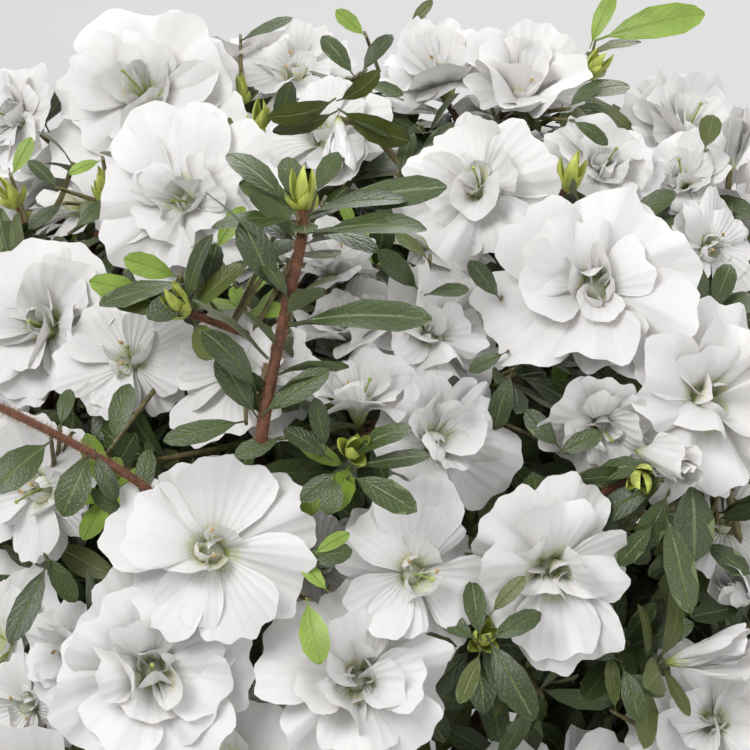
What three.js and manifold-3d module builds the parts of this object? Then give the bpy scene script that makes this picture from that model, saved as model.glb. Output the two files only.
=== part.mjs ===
// A white double-flowered azalea, rooted in the ground: one low, rounded evergreen shrub in full bloom.
// Millimetres, +Z up. The origin is the middle of the trunk's flat cut at ground level, and the shrub's best
// side faces -Y. A short flared trunk forks low into tapering boughs, one for each mass of the crown. A mass is
// one solid: twigs that branch from a single stem, with leaves and flowers fused to them, which hide the boughs.
import * as THREE from "three";
import { mergeVertices } from "three/addons/utils/BufferGeometryUtils.js";
import Module from "manifold-3d";

const wasm = await Module();
wasm.setup();

// Gap between solids that touch in the real shrub, and what it takes sideways at the trunk's slopes
const GAP = 0.3;
const SLOPE_GAP = 0.42;

// A solid that is fused or cut is turned, by steps in radians, until no face is narrower than the finest
const FINEST = 0.03;
const TURNS = { step: 0.037, count: 56 };

// The crown's skin, where the flowers' mouths lie: how far it is from a focus inside the shrub
const CROWN = { focusHeight: 150, halfWidth: 232, rise: 252, fall: 140, squareness: 2.5 };
const FOCUS = new THREE.Vector3(0, 0, CROWN.focusHeight);
const LOBES = [
  { count: 3, depth: 0.035, turn: 0.6 },
  { count: 5, depth: 0.025, turn: -1 },
];

// Trunk: radii and heights of its root flare at the ground, its waist, and the head that the boughs leave from
const TRUNK = { flare: 25, waist: 14.5, waistHeight: 30, head: 16, headHeight: 56, height: 70, sides: 15 };
const TRUNK_RIBS = { count: 5, depth: 0.16 };
const TRUNK_LEAN = new THREE.Vector2(0.05, -0.06);

// Boughs and their masses: one on top and two rings round the crown. Height is where a bough's line starts in
// the trunk, out is how far that is from the trunk's middle, and sag is how far the bough hangs below a
// straight line.
const RINGS = [
  { name: "top", count: 1, elevation: 90, turn: 0, boughRadius: 5, height: 60, out: 0, sag: 0 },
  { name: "upper", count: 5, elevation: 41, turn: -90, boughRadius: 5, height: 54, out: 8, sag: 15 },
  { name: "lower", count: 7, elevation: -3, turn: -64.3, boughRadius: 4.2, height: 34, out: 0, sag: 6 },
];
const SITE_SHARE = 0.5;
const BOUGH = { steps: 4, sides: 6, elbow: 0.45 };
const STEM = { length: 16, radius: 3.5, taper: 0.9 };

// Twigs: three-sided, and as thick as the number of tips beyond them asks
const TWIG = { tipRadius: 1.4, thickening: 0.32, forkShare: 0.42, forkScatter: 0.12, prismReach: 1.3 };

// Leaves stand for two or three real ones each, so they are larger than life. They open away from their twig.
const LEAF = { length: 37, width: 17, thickness: 1.5, widest: 0.56, droop: 0.2 };
const LEAF_ROOT = { first: 2.5, step: 2.5, opening: 62, openingRange: 22, smallest: 0.85, sizeRange: 0.3 };
const SIDE_LEAF = { first: 0.4, step: 0.25, opening: 60, bareTwig: 32, shade: 0.74 };
const LEAVES_UNDER_FLOWER = 2;
const LEAVES_AT_LEAFY_TIP = 4;
const GOLDEN_ANGLE = Math.PI * (3 - Math.sqrt(5));

// Flowers, drawn for a width of 1: a funnel of five ruffled lobes round the raised petals of its heart
const FLOWER = {
  lobes: 5,
  mouth: 0.4,
  edge: 0.5,
  notch: 0.4,
  ruffle: 0.05,
  waves: 2.4,
  heart: 0.22,
  heartHeight: 0.12,
  rootDepth: 0.8,
};
const SMALLEST_FLOWER = 0.62;
const SHRINK_STEP = 0.95;
const BUD = { length: 11, radius: 2.6, widest: 0.35, rootDepth: 1.5 };

// Tips on the sides that the best side's lists leave out: flowers, with every few a leafy one, and then low
// leafy tips that fill the top of the crown
const ROUND = { seed: 7, tips: 92, lowest: -0.46, share: 0.96, scatter: 0.06, leafyEvery: 5, room: 50 };
const FILL = { seed: 9, tips: 200, lowest: 0.6, share: 0.91, scatter: 0.04, leafyEvery: 1, room: 48 };
const FLOWER_WIDTH = { middle: 75, range: 12 };
const AXIS_SCATTER = 0.5;

// The best side, as it is looked at: from this elevation and distance, at a point of the skin
const VIEW = { elevation: 25, distance: 1000, aim: 52, half: 131, crest: 62, search: 350, step: 2 };

// Flowers of the best side. Each row: right of and above the middle of the view, how far it stands in front of
// the skin, its width, and how far it faces right and up instead of at the viewer.
const FRONT_FLOWERS = [
  [-84, 104, 40, 82, -0.2, 0.35],
  [-72, 63, 30, 66, -0.35, 0.1],
  [-22, 90, 5, 56, -0.5, 0.7],
  [22, 112, 20, 60, -0.3, 1.3],
  [54, 108, 25, 62, 0.3, 1.2],
  [37, 70, 25, 58, 0, 0.3],
  [78, 36, 34, 76, 0, 0.25],
  [114, 92, 20, 62, 0.5, 0.8],
  [124, -6, 34, 80, 0.35, 0.15],
  [-122, 20, 24, 66, -0.4, 0.2],
  [-88, 8, -8, 48, -0.2, 0.3],
  [-52, 4, -6, 52, -0.3, 0.3],
  [24, 16, -2, 52, 0.4, 0.2],
  [27, -24, 4, 54, 0.5, 0],
  [-58, -60, 24, 72, 0, 0.15],
  [-78, -103, 20, 70, 0.1, 0.1],
  [-4, -107, 18, 68, 0.1, 0.1],
  [18, -69, 14, 60, 0.3, 0.1],
  [64, -70, 16, 62, 0.1, -0.1],
  [117, -119, 10, 58, -0.2, 0.3],
  [-124, -42, -4, 54, -0.6, -0.2],
  [-110, -98, -4, 44, -1.2, 0],
];
// Leafy tips of the best side, in rows of the same kind with no width
const FRONT_LEAFY_TIPS = [
  [-25, 58, 46, 0, 0.05, 1.6],
  [-8, -28, 12, 0, 0.1, 0.4],
  [37, -93, 0, 0, 0.2, 0.3],
  [92, -34, 14, 0, 0.1, -0.4],
  [74, 104, 0, 0, 0.8, 1],
  [-66, 22, 12, 0, -0.5, 0.6],
];

const UP = new THREE.Vector3(0, 0, 1);
const mix = (a, b, share) => a.clone().lerp(b, share);
const along = (point, direction, distance) => point.clone().addScaledVector(direction, distance);
const towards = (start, end) => end.clone().sub(start).normalize();
const radians = THREE.MathUtils.degToRad;

// Repeatable random numbers from 0 to 1
function randomFrom(seed) {
  let state = seed;
  return () => {
    state = (state * 1664525 + 1013904223) % 4294967296;
    return state / 4294967296;
  };
}

function directionAt(azimuth, elevation) {
  const level = Math.cos(elevation);
  return new THREE.Vector3(level * Math.cos(azimuth), level * Math.sin(azimuth), Math.sin(elevation));
}

// Distance from the focus to the skin
function skinRadius(direction) {
  const level = Math.hypot(direction.x, direction.y);
  const azimuth = Math.atan2(direction.y, direction.x);
  const reach = direction.z > 0 ? CROWN.rise : CROWN.fall;
  const power = CROWN.squareness;
  const sum = (level / CROWN.halfWidth) ** power + (Math.abs(direction.z) / reach) ** power;
  const waves = LOBES.map((lobe) => level * lobe.depth * Math.sin(lobe.count * azimuth + lobe.turn));
  return (1 + waves[0] + waves[1]) * sum ** (-1 / power);
}

const onSkin = (direction, share = 1) => along(FOCUS, direction, share * skinRadius(direction));

// How far out a point is: 1 on the skin
function depthOf(point) {
  const out = point.clone().sub(FOCUS);
  return out.length() / skinRadius(out.clone().normalize());
}

function skinNormal(point) {
  const slopes = [new THREE.Vector3(1, 0, 0), new THREE.Vector3(0, 1, 0), UP].map(
    (axis) => depthOf(along(point, axis, 1)) - depthOf(along(point, axis, -1)),
  );
  return new THREE.Vector3(...slopes).normalize();
}

const toViewer = directionAt(-Math.PI / 2, radians(VIEW.elevation));
const viewRight = new THREE.Vector3(1, 0, 0);
const viewUp = new THREE.Vector3().crossVectors(toViewer, viewRight);
const aim = onSkin(directionAt(-Math.PI / 2, radians(VIEW.aim)));
const eye = along(aim, toViewer, VIEW.distance);

// The place on the skin, or nearest to it, that shows at a place of the view, brought forward by proud
function seenAt(right, above, proud) {
  const ray = towards(eye, along(along(aim, viewRight, right), viewUp, above));
  let best = { depth: Infinity };
  const farthest = VIEW.distance + VIEW.search;
  for (let distance = VIEW.distance - VIEW.search; distance < farthest; distance += VIEW.step) {
    const point = along(eye, ray, distance);
    const depth = Math.max(depthOf(point), 1);
    if (depth < best.depth) best = { depth, point };
  }
  return along(best.point, ray, -proud);
}

// Where a point shows in the view, right of and above its middle
function inView(point) {
  const ray = point.clone().sub(eye);
  const scale = VIEW.distance / -ray.dot(toViewer);
  return { right: ray.dot(viewRight) * scale, above: ray.dot(viewUp) * scale };
}

// A tip is the end of a twig: a flower that faces along its axis, or a bud among leaves where it has no width
function tipAt(centre, axis, width, spin) {
  return { centre, axis, width, spin, foot: along(centre, axis, -FLOWER.mouth * width) };
}

function frontTips() {
  return [...FRONT_FLOWERS, ...FRONT_LEAFY_TIPS].map((row, index) => {
    const [right, above, proud, width, facesRight, facesUp] = row;
    const axis = along(along(toViewer, viewRight, facesRight), viewUp, facesUp).normalize();
    return tipAt(seenAt(right, above, proud), axis, width, index * GOLDEN_ANGLE);
  });
}

// More tips in a golden-angle spiral over the crown. The best side is left to its lists, up to its crest.
function spiralTips(spiral, others) {
  const random = randomFrom(spiral.seed);
  const tips = [];
  for (let index = 0; index < spiral.tips; index++) {
    const height = spiral.lowest + (1 - spiral.lowest) * ((index + 0.5) / spiral.tips);
    const out = directionAt(index * GOLDEN_ANGLE, Math.asin(height));
    const centre = onSkin(out, spiral.share + spiral.scatter * random());
    const scatter = new THREE.Vector3(random() - 0.5, random() - 0.5, 0.5 + 0.5 * random());
    const axis = along(skinNormal(centre), scatter, AXIS_SCATTER).normalize();
    const width = FLOWER_WIDTH.middle + FLOWER_WIDTH.range * (random() - 0.5);
    const leafy = index % spiral.leafyEvery === 0;
    const { right, above } = inView(onSkin(out));
    const crest = spiral === FILL ? VIEW.crest : Infinity;
    const framed = Math.abs(right) < VIEW.half && above > -VIEW.half && above < crest;
    const seen = framed && skinNormal(onSkin(out)).dot(toViewer) > 0;
    const crowded = [...others, ...tips].some((tip) => tip.centre.distanceTo(centre) < spiral.room);
    if (!seen && !crowded) tips.push(tipAt(centre, axis, leafy ? 0 : width, index));
  }
  return tips;
}

// The masses, each with its ring and its site, where its bough ends
function massSites() {
  return RINGS.flatMap((ring) =>
    Array.from({ length: ring.count }, (_, index) => {
      const azimuth = radians(ring.turn + (360 * index) / ring.count);
      const name = ring.count === 1 ? ring.name : `${ring.name}_${index + 1}`;
      const site = onSkin(directionAt(azimuth, radians(ring.elevation)), SITE_SHARE);
      return { name, ring, azimuth, site, tips: [] };
    }),
  );
}

function solidFrom(points, faces) {
  const geometry = new THREE.BufferGeometry();
  const positions = faces.flat().flatMap((index) => points[index].toArray());
  geometry.setAttribute("position", new THREE.Float32BufferAttribute(positions, 3));
  const merged = mergeVertices(geometry, 1e-4);
  const mesh = new wasm.Mesh({
    numProp: 3,
    vertProperties: merged.attributes.position.array,
    triVerts: new Uint32Array(merged.index.array),
  });
  return new wasm.Manifold(mesh);
}

// A closed solid through rings of points, each ring counterclockwise seen from the end that it leads to
function loft(rings) {
  const sides = rings[0].length;
  const faces = [];
  for (let ring = 0; ring + 1 < rings.length; ring++)
    for (let side = 0; side < sides; side++) {
      const [a, b] = [ring * sides + side, ring * sides + ((side + 1) % sides)];
      faces.push([a, b, b + sides], [a, b + sides, a + sides]);
    }
  const end = (rings.length - 1) * sides;
  for (let side = 1; side + 1 < sides; side++)
    faces.push([0, side + 1, side], [end, end + side, end + side + 1]);
  return solidFrom(rings.flat(), faces);
}

// Turns points drawn along +Z to stand on a foot along an axis
function stand(points, foot, axis, spin = 0, size = 1) {
  const turn = new THREE.Quaternion().setFromUnitVectors(UP, axis);
  turn.multiply(new THREE.Quaternion().setFromAxisAngle(UP, spin));
  return points.map((point) => point.clone().multiplyScalar(size).applyQuaternion(turn).add(foot));
}

function polar(radius, height, angle) {
  return new THREE.Vector3(radius * Math.cos(angle), radius * Math.sin(angle), height);
}

// A ring of points round a centre, square to a direction
function ringAt(centre, direction, radius, sides, turn = 0) {
  const points = Array.from({ length: sides }, (_, side) => polar(radius, 0, (2 * Math.PI * side) / sides));
  return stand(points, centre, direction, turn);
}

// The trunk, grown by a clearance so that the boughs can be cut clear of it
function trunkSolid(grown = 0) {
  const { flare, waist, head, waistHeight, headHeight, height: top } = TRUNK;
  const profile = [
    [0, flare],
    [waistHeight * 0.25, flare * 0.76],
    [waistHeight * 0.55, waist * 1.12],
    [waistHeight, waist],
    [headHeight, head],
    [top - 5, head * 0.86],
    [top, head * 0.6],
  ];
  const rings = profile.map(([height, radius]) => {
    const ribs = TRUNK_RIBS.depth * Math.max(0, 1 - height / waistHeight);
    const lift = height === top ? grown : 0;
    return Array.from({ length: TRUNK.sides }, (_, side) => {
      const angle = (2 * Math.PI * side) / TRUNK.sides;
      const reach = radius * (1 + ribs * Math.cos(TRUNK_RIBS.count * angle)) + grown;
      const lean = new THREE.Vector3(TRUNK_LEAN.x * height, TRUNK_LEAN.y * height, lift);
      return polar(reach, height, angle).add(lean);
    });
  });
  return loft(rings);
}

// The line of a bough, from inside the trunk to its mass's site
function boughCurve({ ring, azimuth, site }) {
  const middle = new THREE.Vector3(TRUNK_LEAN.x * ring.height, TRUNK_LEAN.y * ring.height, ring.height);
  const root = along(middle, directionAt(azimuth, 0), ring.out);
  return new THREE.QuadraticBezierCurve3(root, along(mix(root, site, BOUGH.elbow), UP, -ring.sag), site);
}

function boughSolid(mass, turn) {
  const curve = boughCurve(mass);
  const rings = Array.from({ length: BOUGH.steps + 1 }, (_, step) => {
    const share = step / BOUGH.steps;
    const radius = THREE.MathUtils.lerp(mass.ring.boughRadius, STEM.radius, share);
    return ringAt(curve.getPoint(share), curve.getTangent(share), radius, BOUGH.sides, turn);
  });
  return loft(rings).subtract(trunkSolid(SLOPE_GAP));
}

const twigRadius = (tips) => TWIG.tipRadius * tips ** TWIG.thickening;
const headingOf = (points) => towards(points.at(-2), points.at(-1));
function middleOf(tips) {
  const sum = tips.reduce((total, tip) => total.add(tip.foot), new THREE.Vector3());
  return sum.divideScalar(tips.length);
}

// Twigs to the feet of the tips. At each fork the tips part into two halves across their widest spread: the
// half that lies straighter ahead carries the twig on, and the other has a new twig.
function branch(twig, tips, twigs, random) {
  if (tips.length === 1) {
    twig.points.push(tips[0].foot);
    twig.radii.push(TWIG.tipRadius);
    twig.tip = tips[0];
    return;
  }
  const fork = twig.points.at(-1);
  const spread = new THREE.Box3().setFromPoints(tips.map((tip) => tip.foot)).getSize(new THREE.Vector3());
  const widest = ["x", "y", "z"].reduce((a, b) => (spread[b] > spread[a] ? b : a));
  const sorted = [...tips].sort((a, b) => a.foot[widest] - b.foot[widest]);
  const half = Math.ceil(sorted.length / 2);
  const ahead = headingOf(twig.points);
  const straightness = (part) => towards(fork, middleOf(part)).dot(ahead);
  const parts = [sorted.slice(0, half), sorted.slice(half)].sort((a, b) => straightness(b) - straightness(a));
  parts.forEach((part, index) => {
    const radius = twigRadius(part.length);
    const carried = index === 0 ? twig : { points: [fork], radii: [radius] };
    if (index > 0) twigs.push(carried);
    if (part.length > 1) {
      carried.points.push(mix(fork, middleOf(part), TWIG.forkShare + TWIG.forkScatter * random()));
      carried.radii.push(radius);
    }
    branch(carried, part, twigs, random);
  });
}

// The stem of a mass carries on from its bough's tip, across the gap
function growTwigs(mass, seed) {
  const heading = boughCurve(mass).getTangent(1);
  const start = along(mass.site, heading, GAP);
  const end = along(start, heading, STEM.length);
  const stem = { points: [start, end], radii: [STEM.radius, STEM.radius * STEM.taper] };
  mass.twigs = [stem];
  branch(stem, mass.tips, mass.twigs, randomFrom(seed));
}

// Three-sided rings along a twig, with no twist between them, wider than the round twig that they stand for
function twigSolid({ points, radii }, turn) {
  const side = new THREE.Vector3(0.8, 0.31, 0.52).applyAxisAngle(UP, turn);
  const rings = points.map((point, index) => {
    const before = points[Math.max(index - 1, 0)];
    const after = points[Math.min(index + 1, points.length - 1)];
    const heading = towards(before, point).add(towards(point, after)).normalize();
    side.addScaledVector(heading, -side.dot(heading)).normalize();
    const other = new THREE.Vector3().crossVectors(heading, side);
    return [0, 1, 2].map((corner) => {
      const { x, y } = polar(radii[index] * TWIG.prismReach, 0, (2 * Math.PI * corner) / 3);
      return along(along(point, side, x), other, y);
    });
  });
  return loft(rings);
}

// A leaf of six faces, keeled below and bent down across its widest line, from a root inside its twig
function leafSolid({ root, heading: towardsTip, upward, size }, turn) {
  const heading = towardsTip.clone().applyAxisAngle(upward, turn);
  const across = new THREE.Vector3().crossVectors(heading, upward).normalize();
  const up = new THREE.Vector3().crossVectors(across, heading).normalize();
  const length = LEAF.length * size;
  const halfWidth = (LEAF.width / 2) * size;
  const middle = along(root, heading, length * LEAF.widest);
  const points = [
    root,
    along(along(root, heading, length), up, -LEAF.droop * length),
    along(middle, across, halfWidth),
    along(middle, across, -halfWidth),
    along(middle, up, -LEAF.thickness),
  ];
  const [base, point, right, left, keel] = [0, 1, 2, 3, 4];
  return solidFrom(points, [
    [base, right, left],
    [point, left, right],
    [base, keel, right],
    [base, left, keel],
    [point, right, keel],
    [point, keel, left],
  ]);
}

// A flower: on its underside a cone to the notches and a flap to each lobe, above them the heart's ring and
// throat
function flowerSolid(tip, share, turn) {
  const { lobes, mouth, edge, notch, ruffle, heart } = FLOWER;
  const size = tip.width * share;
  const points = [new THREE.Vector3(0, 0, -FLOWER.rootDepth / size), new THREE.Vector3(0, 0, mouth)];
  for (let lobe = 0; lobe < lobes; lobe++) {
    const angle = (2 * Math.PI * lobe) / lobes;
    const between = angle + Math.PI / lobes;
    const wave = ruffle * Math.sin(FLOWER.waves * lobe + tip.spin);
    points.push(
      polar(edge, mouth - ruffle + wave, angle),
      polar(notch, mouth - ruffle, between),
      polar(heart, mouth + FLOWER.heartHeight - wave, between),
    );
  }
  const [foot, throat] = [0, 1];
  const kindsOf = (lobe) => [0, 1, 2].map((kind) => 2 + 3 * (lobe % lobes) + kind);
  const faces = [];
  for (let lobe = 0; lobe < lobes; lobe++) {
    const [outer, gap, inner] = kindsOf(lobe);
    const [nextOuter, nextGap, nextInner] = kindsOf(lobe + 1);
    faces.push([foot, nextGap, gap], [gap, nextGap, nextOuter]);
    faces.push([outer, gap, inner], [gap, nextOuter, inner]);
    faces.push([nextOuter, nextInner, inner], [inner, nextInner, throat]);
  }
  return solidFrom(stand(points, tip.foot, tip.axis, tip.spin + turn, size), faces);
}

// The pointed bud at a leafy tip
function budSolid(tip, turn) {
  const { length, radius, widest, rootDepth } = BUD;
  const ends = [new THREE.Vector3(0, 0, -rootDepth), new THREE.Vector3(0, 0, length)];
  const waist = ringAt(new THREE.Vector3(0, 0, length * widest), UP, radius, 4);
  const faces = [0, 1, 2, 3].flatMap((side) => {
    const [a, b] = [2 + side, 2 + ((side + 1) % 4)];
    return [
      [0, b, a],
      [1, a, b],
    ];
  });
  return solidFrom(stand([...ends, ...waist], tip.foot, tip.axis, turn), faces);
}

// A direction that leans away from a heading, at an angle round it
function leaning(heading, around, opening) {
  const [side] = stand([polar(1, 0, around)], new THREE.Vector3(), heading);
  return side.multiplyScalar(Math.sin(opening)).addScaledVector(heading, Math.cos(opening));
}

// Leaves round the last stretch of the twig to a tip
function tipLeaves(tip, upward, random) {
  const count = tip.width ? LEAVES_UNDER_FLOWER : LEAVES_AT_LEAFY_TIP;
  return Array.from({ length: count }, (_, index) => {
    const opening = radians(LEAF_ROOT.opening + LEAF_ROOT.openingRange * random());
    const heading = leaning(upward, tip.spin + index * GOLDEN_ANGLE, opening);
    const root = along(tip.foot, upward, -LEAF_ROOT.first - LEAF_ROOT.step * index);
    return { root, heading, upward, size: LEAF_ROOT.smallest + LEAF_ROOT.sizeRange * random() };
  });
}

// A pair of leaves on the middle of each longer stretch of a twig, where it is near the light
function sideLeaves(points, random) {
  return points.slice(1).flatMap((end, index) => {
    const start = points[index];
    const around = 2 * Math.PI * random();
    if (start.distanceTo(end) < SIDE_LEAF.bareTwig || depthOf(end) < SIDE_LEAF.shade) return [];
    const upward = towards(start, end);
    return [0, 1].map((leaf) => {
      const heading = leaning(upward, around + leaf * GOLDEN_ANGLE, radians(SIDE_LEAF.opening));
      const root = mix(start, end, SIDE_LEAF.first + SIDE_LEAF.step * leaf);
      return { root, heading, upward, size: LEAF_ROOT.smallest + LEAF_ROOT.sizeRange * random() };
    });
  });
}

// Everything placed so far, each with its owner: solids of different owners keep clear of each other
const placed = [];

function place(solid, owner) {
  placed.push({ solid, owner, box: solid.boundingBox() });
}

function boxesApart(a, b, room) {
  return [0, 1, 2].some((k) => a.min[k] - room > b.max[k] || b.min[k] - room > a.max[k]);
}

function isClear(solid, owner) {
  const box = solid.boundingBox();
  const strangers = placed.filter((other) => other.owner !== owner && !boxesApart(box, other.box, GAP));
  return strangers.every((other) => solid.minGap(other.solid, 2 * GAP) >= GAP);
}

// Whether a leaf cuts into nothing of its own mass but the twig that it grows on
function isFree(solid, owner) {
  const box = solid.boundingBox();
  const own = placed.filter((other) => other.owner === owner && !boxesApart(box, other.box, 0));
  return own.filter((other) => !solid.intersect(other.solid).isEmpty()).length < 2;
}

// The flower at a tip, made smaller until it is clear of the other masses, or the bud there
function tipSolid(tip, owner, turn) {
  if (!tip.width) return budSolid(tip, turn);
  let share = 1;
  let solid = flowerSolid(tip, share, turn);
  while (!isClear(solid, owner) && share > SMALLEST_FLOWER) {
    share *= SHRINK_STEP;
    solid = flowerSolid(tip, share, turn);
  }
  return solid;
}

// The faces of a solid, each with its corners' numbers, area and height over its longest side
function facesOf(solid) {
  const { vertProperties, triVerts } = solid.getMesh();
  const corner = (index) => new THREE.Vector3().fromArray(vertProperties, 3 * index);
  return Array.from({ length: triVerts.length / 3 }, (_, face) => {
    const corners = [...triVerts.subarray(3 * face, 3 * face + 3)];
    const [a, b, c] = corners.map(corner);
    const area = new THREE.Triangle(a, b, c).getArea();
    const longest = Math.max(a.distanceTo(b), b.distanceTo(c), c.distanceTo(a));
    return { corners, area, height: (2 * area) / longest };
  });
}

// Height of a solid's narrowest face
const narrowestFace = (solid) => Math.min(...facesOf(solid).map((face) => face.height));

// The first turn that leaves no sliver on a body, or else the best one. Turns that don't fit give no body.
function bestTurn(bodyAt, goal) {
  let best = { narrowest: 0 };
  for (let turn = 0; turn < TURNS.count && best.narrowest < goal; turn++) {
    const found = bodyAt(turn * TURNS.step);
    const narrowest = found ? narrowestFace(found.body) : 0;
    if (narrowest > best.narrowest) best = { ...found, narrowest };
  }
  return best;
}

// Fuses a solid to its mass at its best turn, where it leaves no sliver or the mass can't do without it
function fuse(mass, solidAt, fits, isNeeded) {
  const goal = Math.min(FINEST, mass.narrowest);
  const best = bestTurn((turn) => {
    const solid = solidAt(turn);
    return fits(solid) && { solid, body: mass.body ? mass.body.add(solid) : solid };
  }, goal);
  if (best.narrowest < goal && !(isNeeded && best.body)) return;
  mass.body = best.body;
  mass.narrowest = best.narrowest;
  place(best.solid, mass.name);
}

const masses = massSites();
const nearer = (a, b, point) => (point.distanceTo(b.site) < point.distanceTo(a.site) ? b : a);
const nearestMass = (point) => masses.reduce((a, b) => nearer(a, b, point));
const tips = frontTips();
tips.push(...spiralTips(ROUND, tips));
tips.push(...spiralTips(FILL, tips));
tips.forEach((tip) => nearestMass(tip.foot).tips.push(tip));
masses.forEach((mass, index) => growTwigs(mass, 11 + index));

const bark = new THREE.MeshStandardMaterial({ color: 0x6b4630, roughness: 0.85, metalness: 0 });
const foliage = new THREE.MeshStandardMaterial({ color: 0x8fa07a, roughness: 0.55, metalness: 0 });
const shrub = new THREE.Group();
shrub.name = "azalea_shrub";

// A node's faces are in order of size, the largest first
function addNode(name, solid, material) {
  const faces = facesOf(solid).sort((a, b) => b.area - a.area);
  const geometry = new THREE.BufferGeometry();
  geometry.setAttribute("position", new THREE.BufferAttribute(solid.getMesh().vertProperties, 3));
  geometry.setIndex(faces.flatMap((face) => face.corners));
  const node = new THREE.Mesh(geometry, material);
  node.name = name;
  shrub.add(node);
}

// Trunk and boughs
const trunk = trunkSolid();
place(trunk, "trunk");
addNode("trunk", trunk, bark);
for (const mass of masses) {
  const { body } = bestTurn((turn) => ({ body: boughSolid(mass, turn) }), FINEST);
  place(body, "boughs");
  addNode(`bough_${mass.name}`, body, bark);
}

// Twigs of every mass come first, then their flowers and buds, and the leaves take the room that is left
for (const mass of masses) {
  mass.narrowest = Infinity;
  mass.twigs.forEach((twig) => fuse(mass, (turn) => twigSolid(twig, turn), () => true, true));
}
for (const mass of masses) {
  const fits = (solid) => isClear(solid, mass.name);
  mass.tips.forEach((tip) => fuse(mass, (turn) => tipSolid(tip, mass.name, turn), fits, true));
}
for (const [index, mass] of masses.entries()) {
  const random = randomFrom(101 + index);
  const fits = (solid) => isClear(solid, mass.name) && isFree(solid, mass.name);
  for (const { tip, points } of mass.twigs)
    for (const leaf of [...tipLeaves(tip, headingOf(points), random), ...sideLeaves(points, random)]) {
      const end = along(leaf.root, leaf.heading, LEAF.length * leaf.size);
      if (nearestMass(end) === mass) fuse(mass, (turn) => leafSolid(leaf, turn), fits, false);
    }
  const [largest] = mass.body.decompose().sort((a, b) => b.volume() - a.volume());
  addNode(`foliage_${mass.name}`, largest, foliage);
}

export default shrub;
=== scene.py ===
"""The looks of a white double-flowered azalea shrub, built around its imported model.

Metres, +Z up. The origin is the middle of the trunk's flat cut at ground level, and the shrub's
best side faces -Y. The crown grows by the same rule as the solids do: tips on a rounded skin,
boughs to a site for each mass, and twigs that part at each fork. Finer shoots, leaves and flowers
are then grown on from those twigs.
"""
import collections
import functools
import math

import bpy
import numpy as np
from bpy.props import FloatProperty, FloatVectorProperty, IntProperty, PointerProperty
from mathutils import Matrix, Vector


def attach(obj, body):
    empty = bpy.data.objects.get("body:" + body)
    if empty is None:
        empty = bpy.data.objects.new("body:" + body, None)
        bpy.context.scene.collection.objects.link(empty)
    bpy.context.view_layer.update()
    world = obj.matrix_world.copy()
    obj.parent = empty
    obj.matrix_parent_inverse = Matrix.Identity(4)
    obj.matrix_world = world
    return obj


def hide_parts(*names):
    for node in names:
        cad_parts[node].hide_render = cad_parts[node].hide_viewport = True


bl_info = {
    "name": "White azalea shrub",
    "version": (1, 0, 0),
    "blender": (4, 5, 0),
    "location": "3D View > Sidebar > Azalea",
    "description": "Builds a double-flowered azalea shrub around its packed model",
    "category": "Object",
}

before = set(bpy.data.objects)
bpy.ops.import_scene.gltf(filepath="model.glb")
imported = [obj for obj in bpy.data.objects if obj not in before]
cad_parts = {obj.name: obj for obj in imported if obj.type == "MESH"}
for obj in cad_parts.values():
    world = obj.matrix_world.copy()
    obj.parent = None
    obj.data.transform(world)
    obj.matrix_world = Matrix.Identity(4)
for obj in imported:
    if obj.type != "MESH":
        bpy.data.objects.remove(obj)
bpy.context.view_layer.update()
FOLIAGE_NODES = [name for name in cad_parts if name.startswith("foliage_")]
LIMB_NODES = [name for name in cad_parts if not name.startswith("foliage_")]
MM = 0.001
UP = np.array([0.0, 0.0, 1.0])
FULL_TURN = 2 * math.pi
GOLDEN_ANGLE = math.pi * (3 - math.sqrt(5))

# The crown's skin, where the flowers' mouths lie, in mm from a focus inside the shrub
CROWN = {"focus_height": 150, "half_width": 232, "rise": 252, "fall": 140, "squareness": 2.5}
FOCUS = np.array([0.0, 0.0, CROWN["focus_height"]])
# Lobes round the crown: how many, how deep, and where they start
LOBES = ((3, 0.035, 0.6), (5, 0.025, -1))

# Trunk: the heights and radii of its profile, the ribs of its root flare, and its lean
TRUNK_PROFILE = (
    (0, 25), (7.5, 19), (16.5, 16.2), (30, 14.5), (56, 16), (65, 13.8), (70, 9.6),
)
TRUNK_RIBS = {"count": 5, "depth": 0.16, "height": 30}
TRUNK_LEAN = (0.05, -0.06)

# Boughs and their masses: how many, elevation, turn, bough radius, height in the trunk, distance
# out of its middle, and sag
RINGS = (
    {"count": 1, "elevation": 90, "turn": 0, "radius": 5, "height": 60, "out": 0, "sag": 0},
    {"count": 5, "elevation": 41, "turn": -90, "radius": 5, "height": 54, "out": 8, "sag": 15},
    {"count": 7, "elevation": -3, "turn": -64.3, "radius": 4.2, "height": 34, "out": 0, "sag": 6},
)
SITE_SHARE = 0.5
BOUGH = {"elbow": 0.45, "stations": 40, "thick": 1.25}
STEM = {"length": 16, "radius": 3.5, "taper": 0.9, "gap": 0.3}
TWIG = {"seed": 11, "tip_radius": 1.4, "thickening": 0.32, "fork_share": 0.42,
        "fork_scatter": 0.12, "steps": 6}
FLOWER_MOUTH = 0.4

# Tips on the sides that the best side's lists leave out, then low leafy tips that fill the top
ROUND = {"seed": 7, "count": 92, "lowest": -0.46, "share": 0.96, "scatter": 0.06,
         "leafy_every": 5, "room": 50}
FILL = {"seed": 9, "count": 200, "lowest": 0.6, "share": 0.91, "scatter": 0.04,
        "leafy_every": 1, "room": 48}
FLOWER_WIDTH = {"middle": 75, "range": 12}
AXIS_SCATTER = 0.5

# The best side, as it is looked at: from this elevation and distance, at a point of the skin
VIEW = {"elevation": 25, "distance": 1000, "aim": 52, "half": 131, "crest": 62, "search": 350,
        "step": 2}

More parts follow.
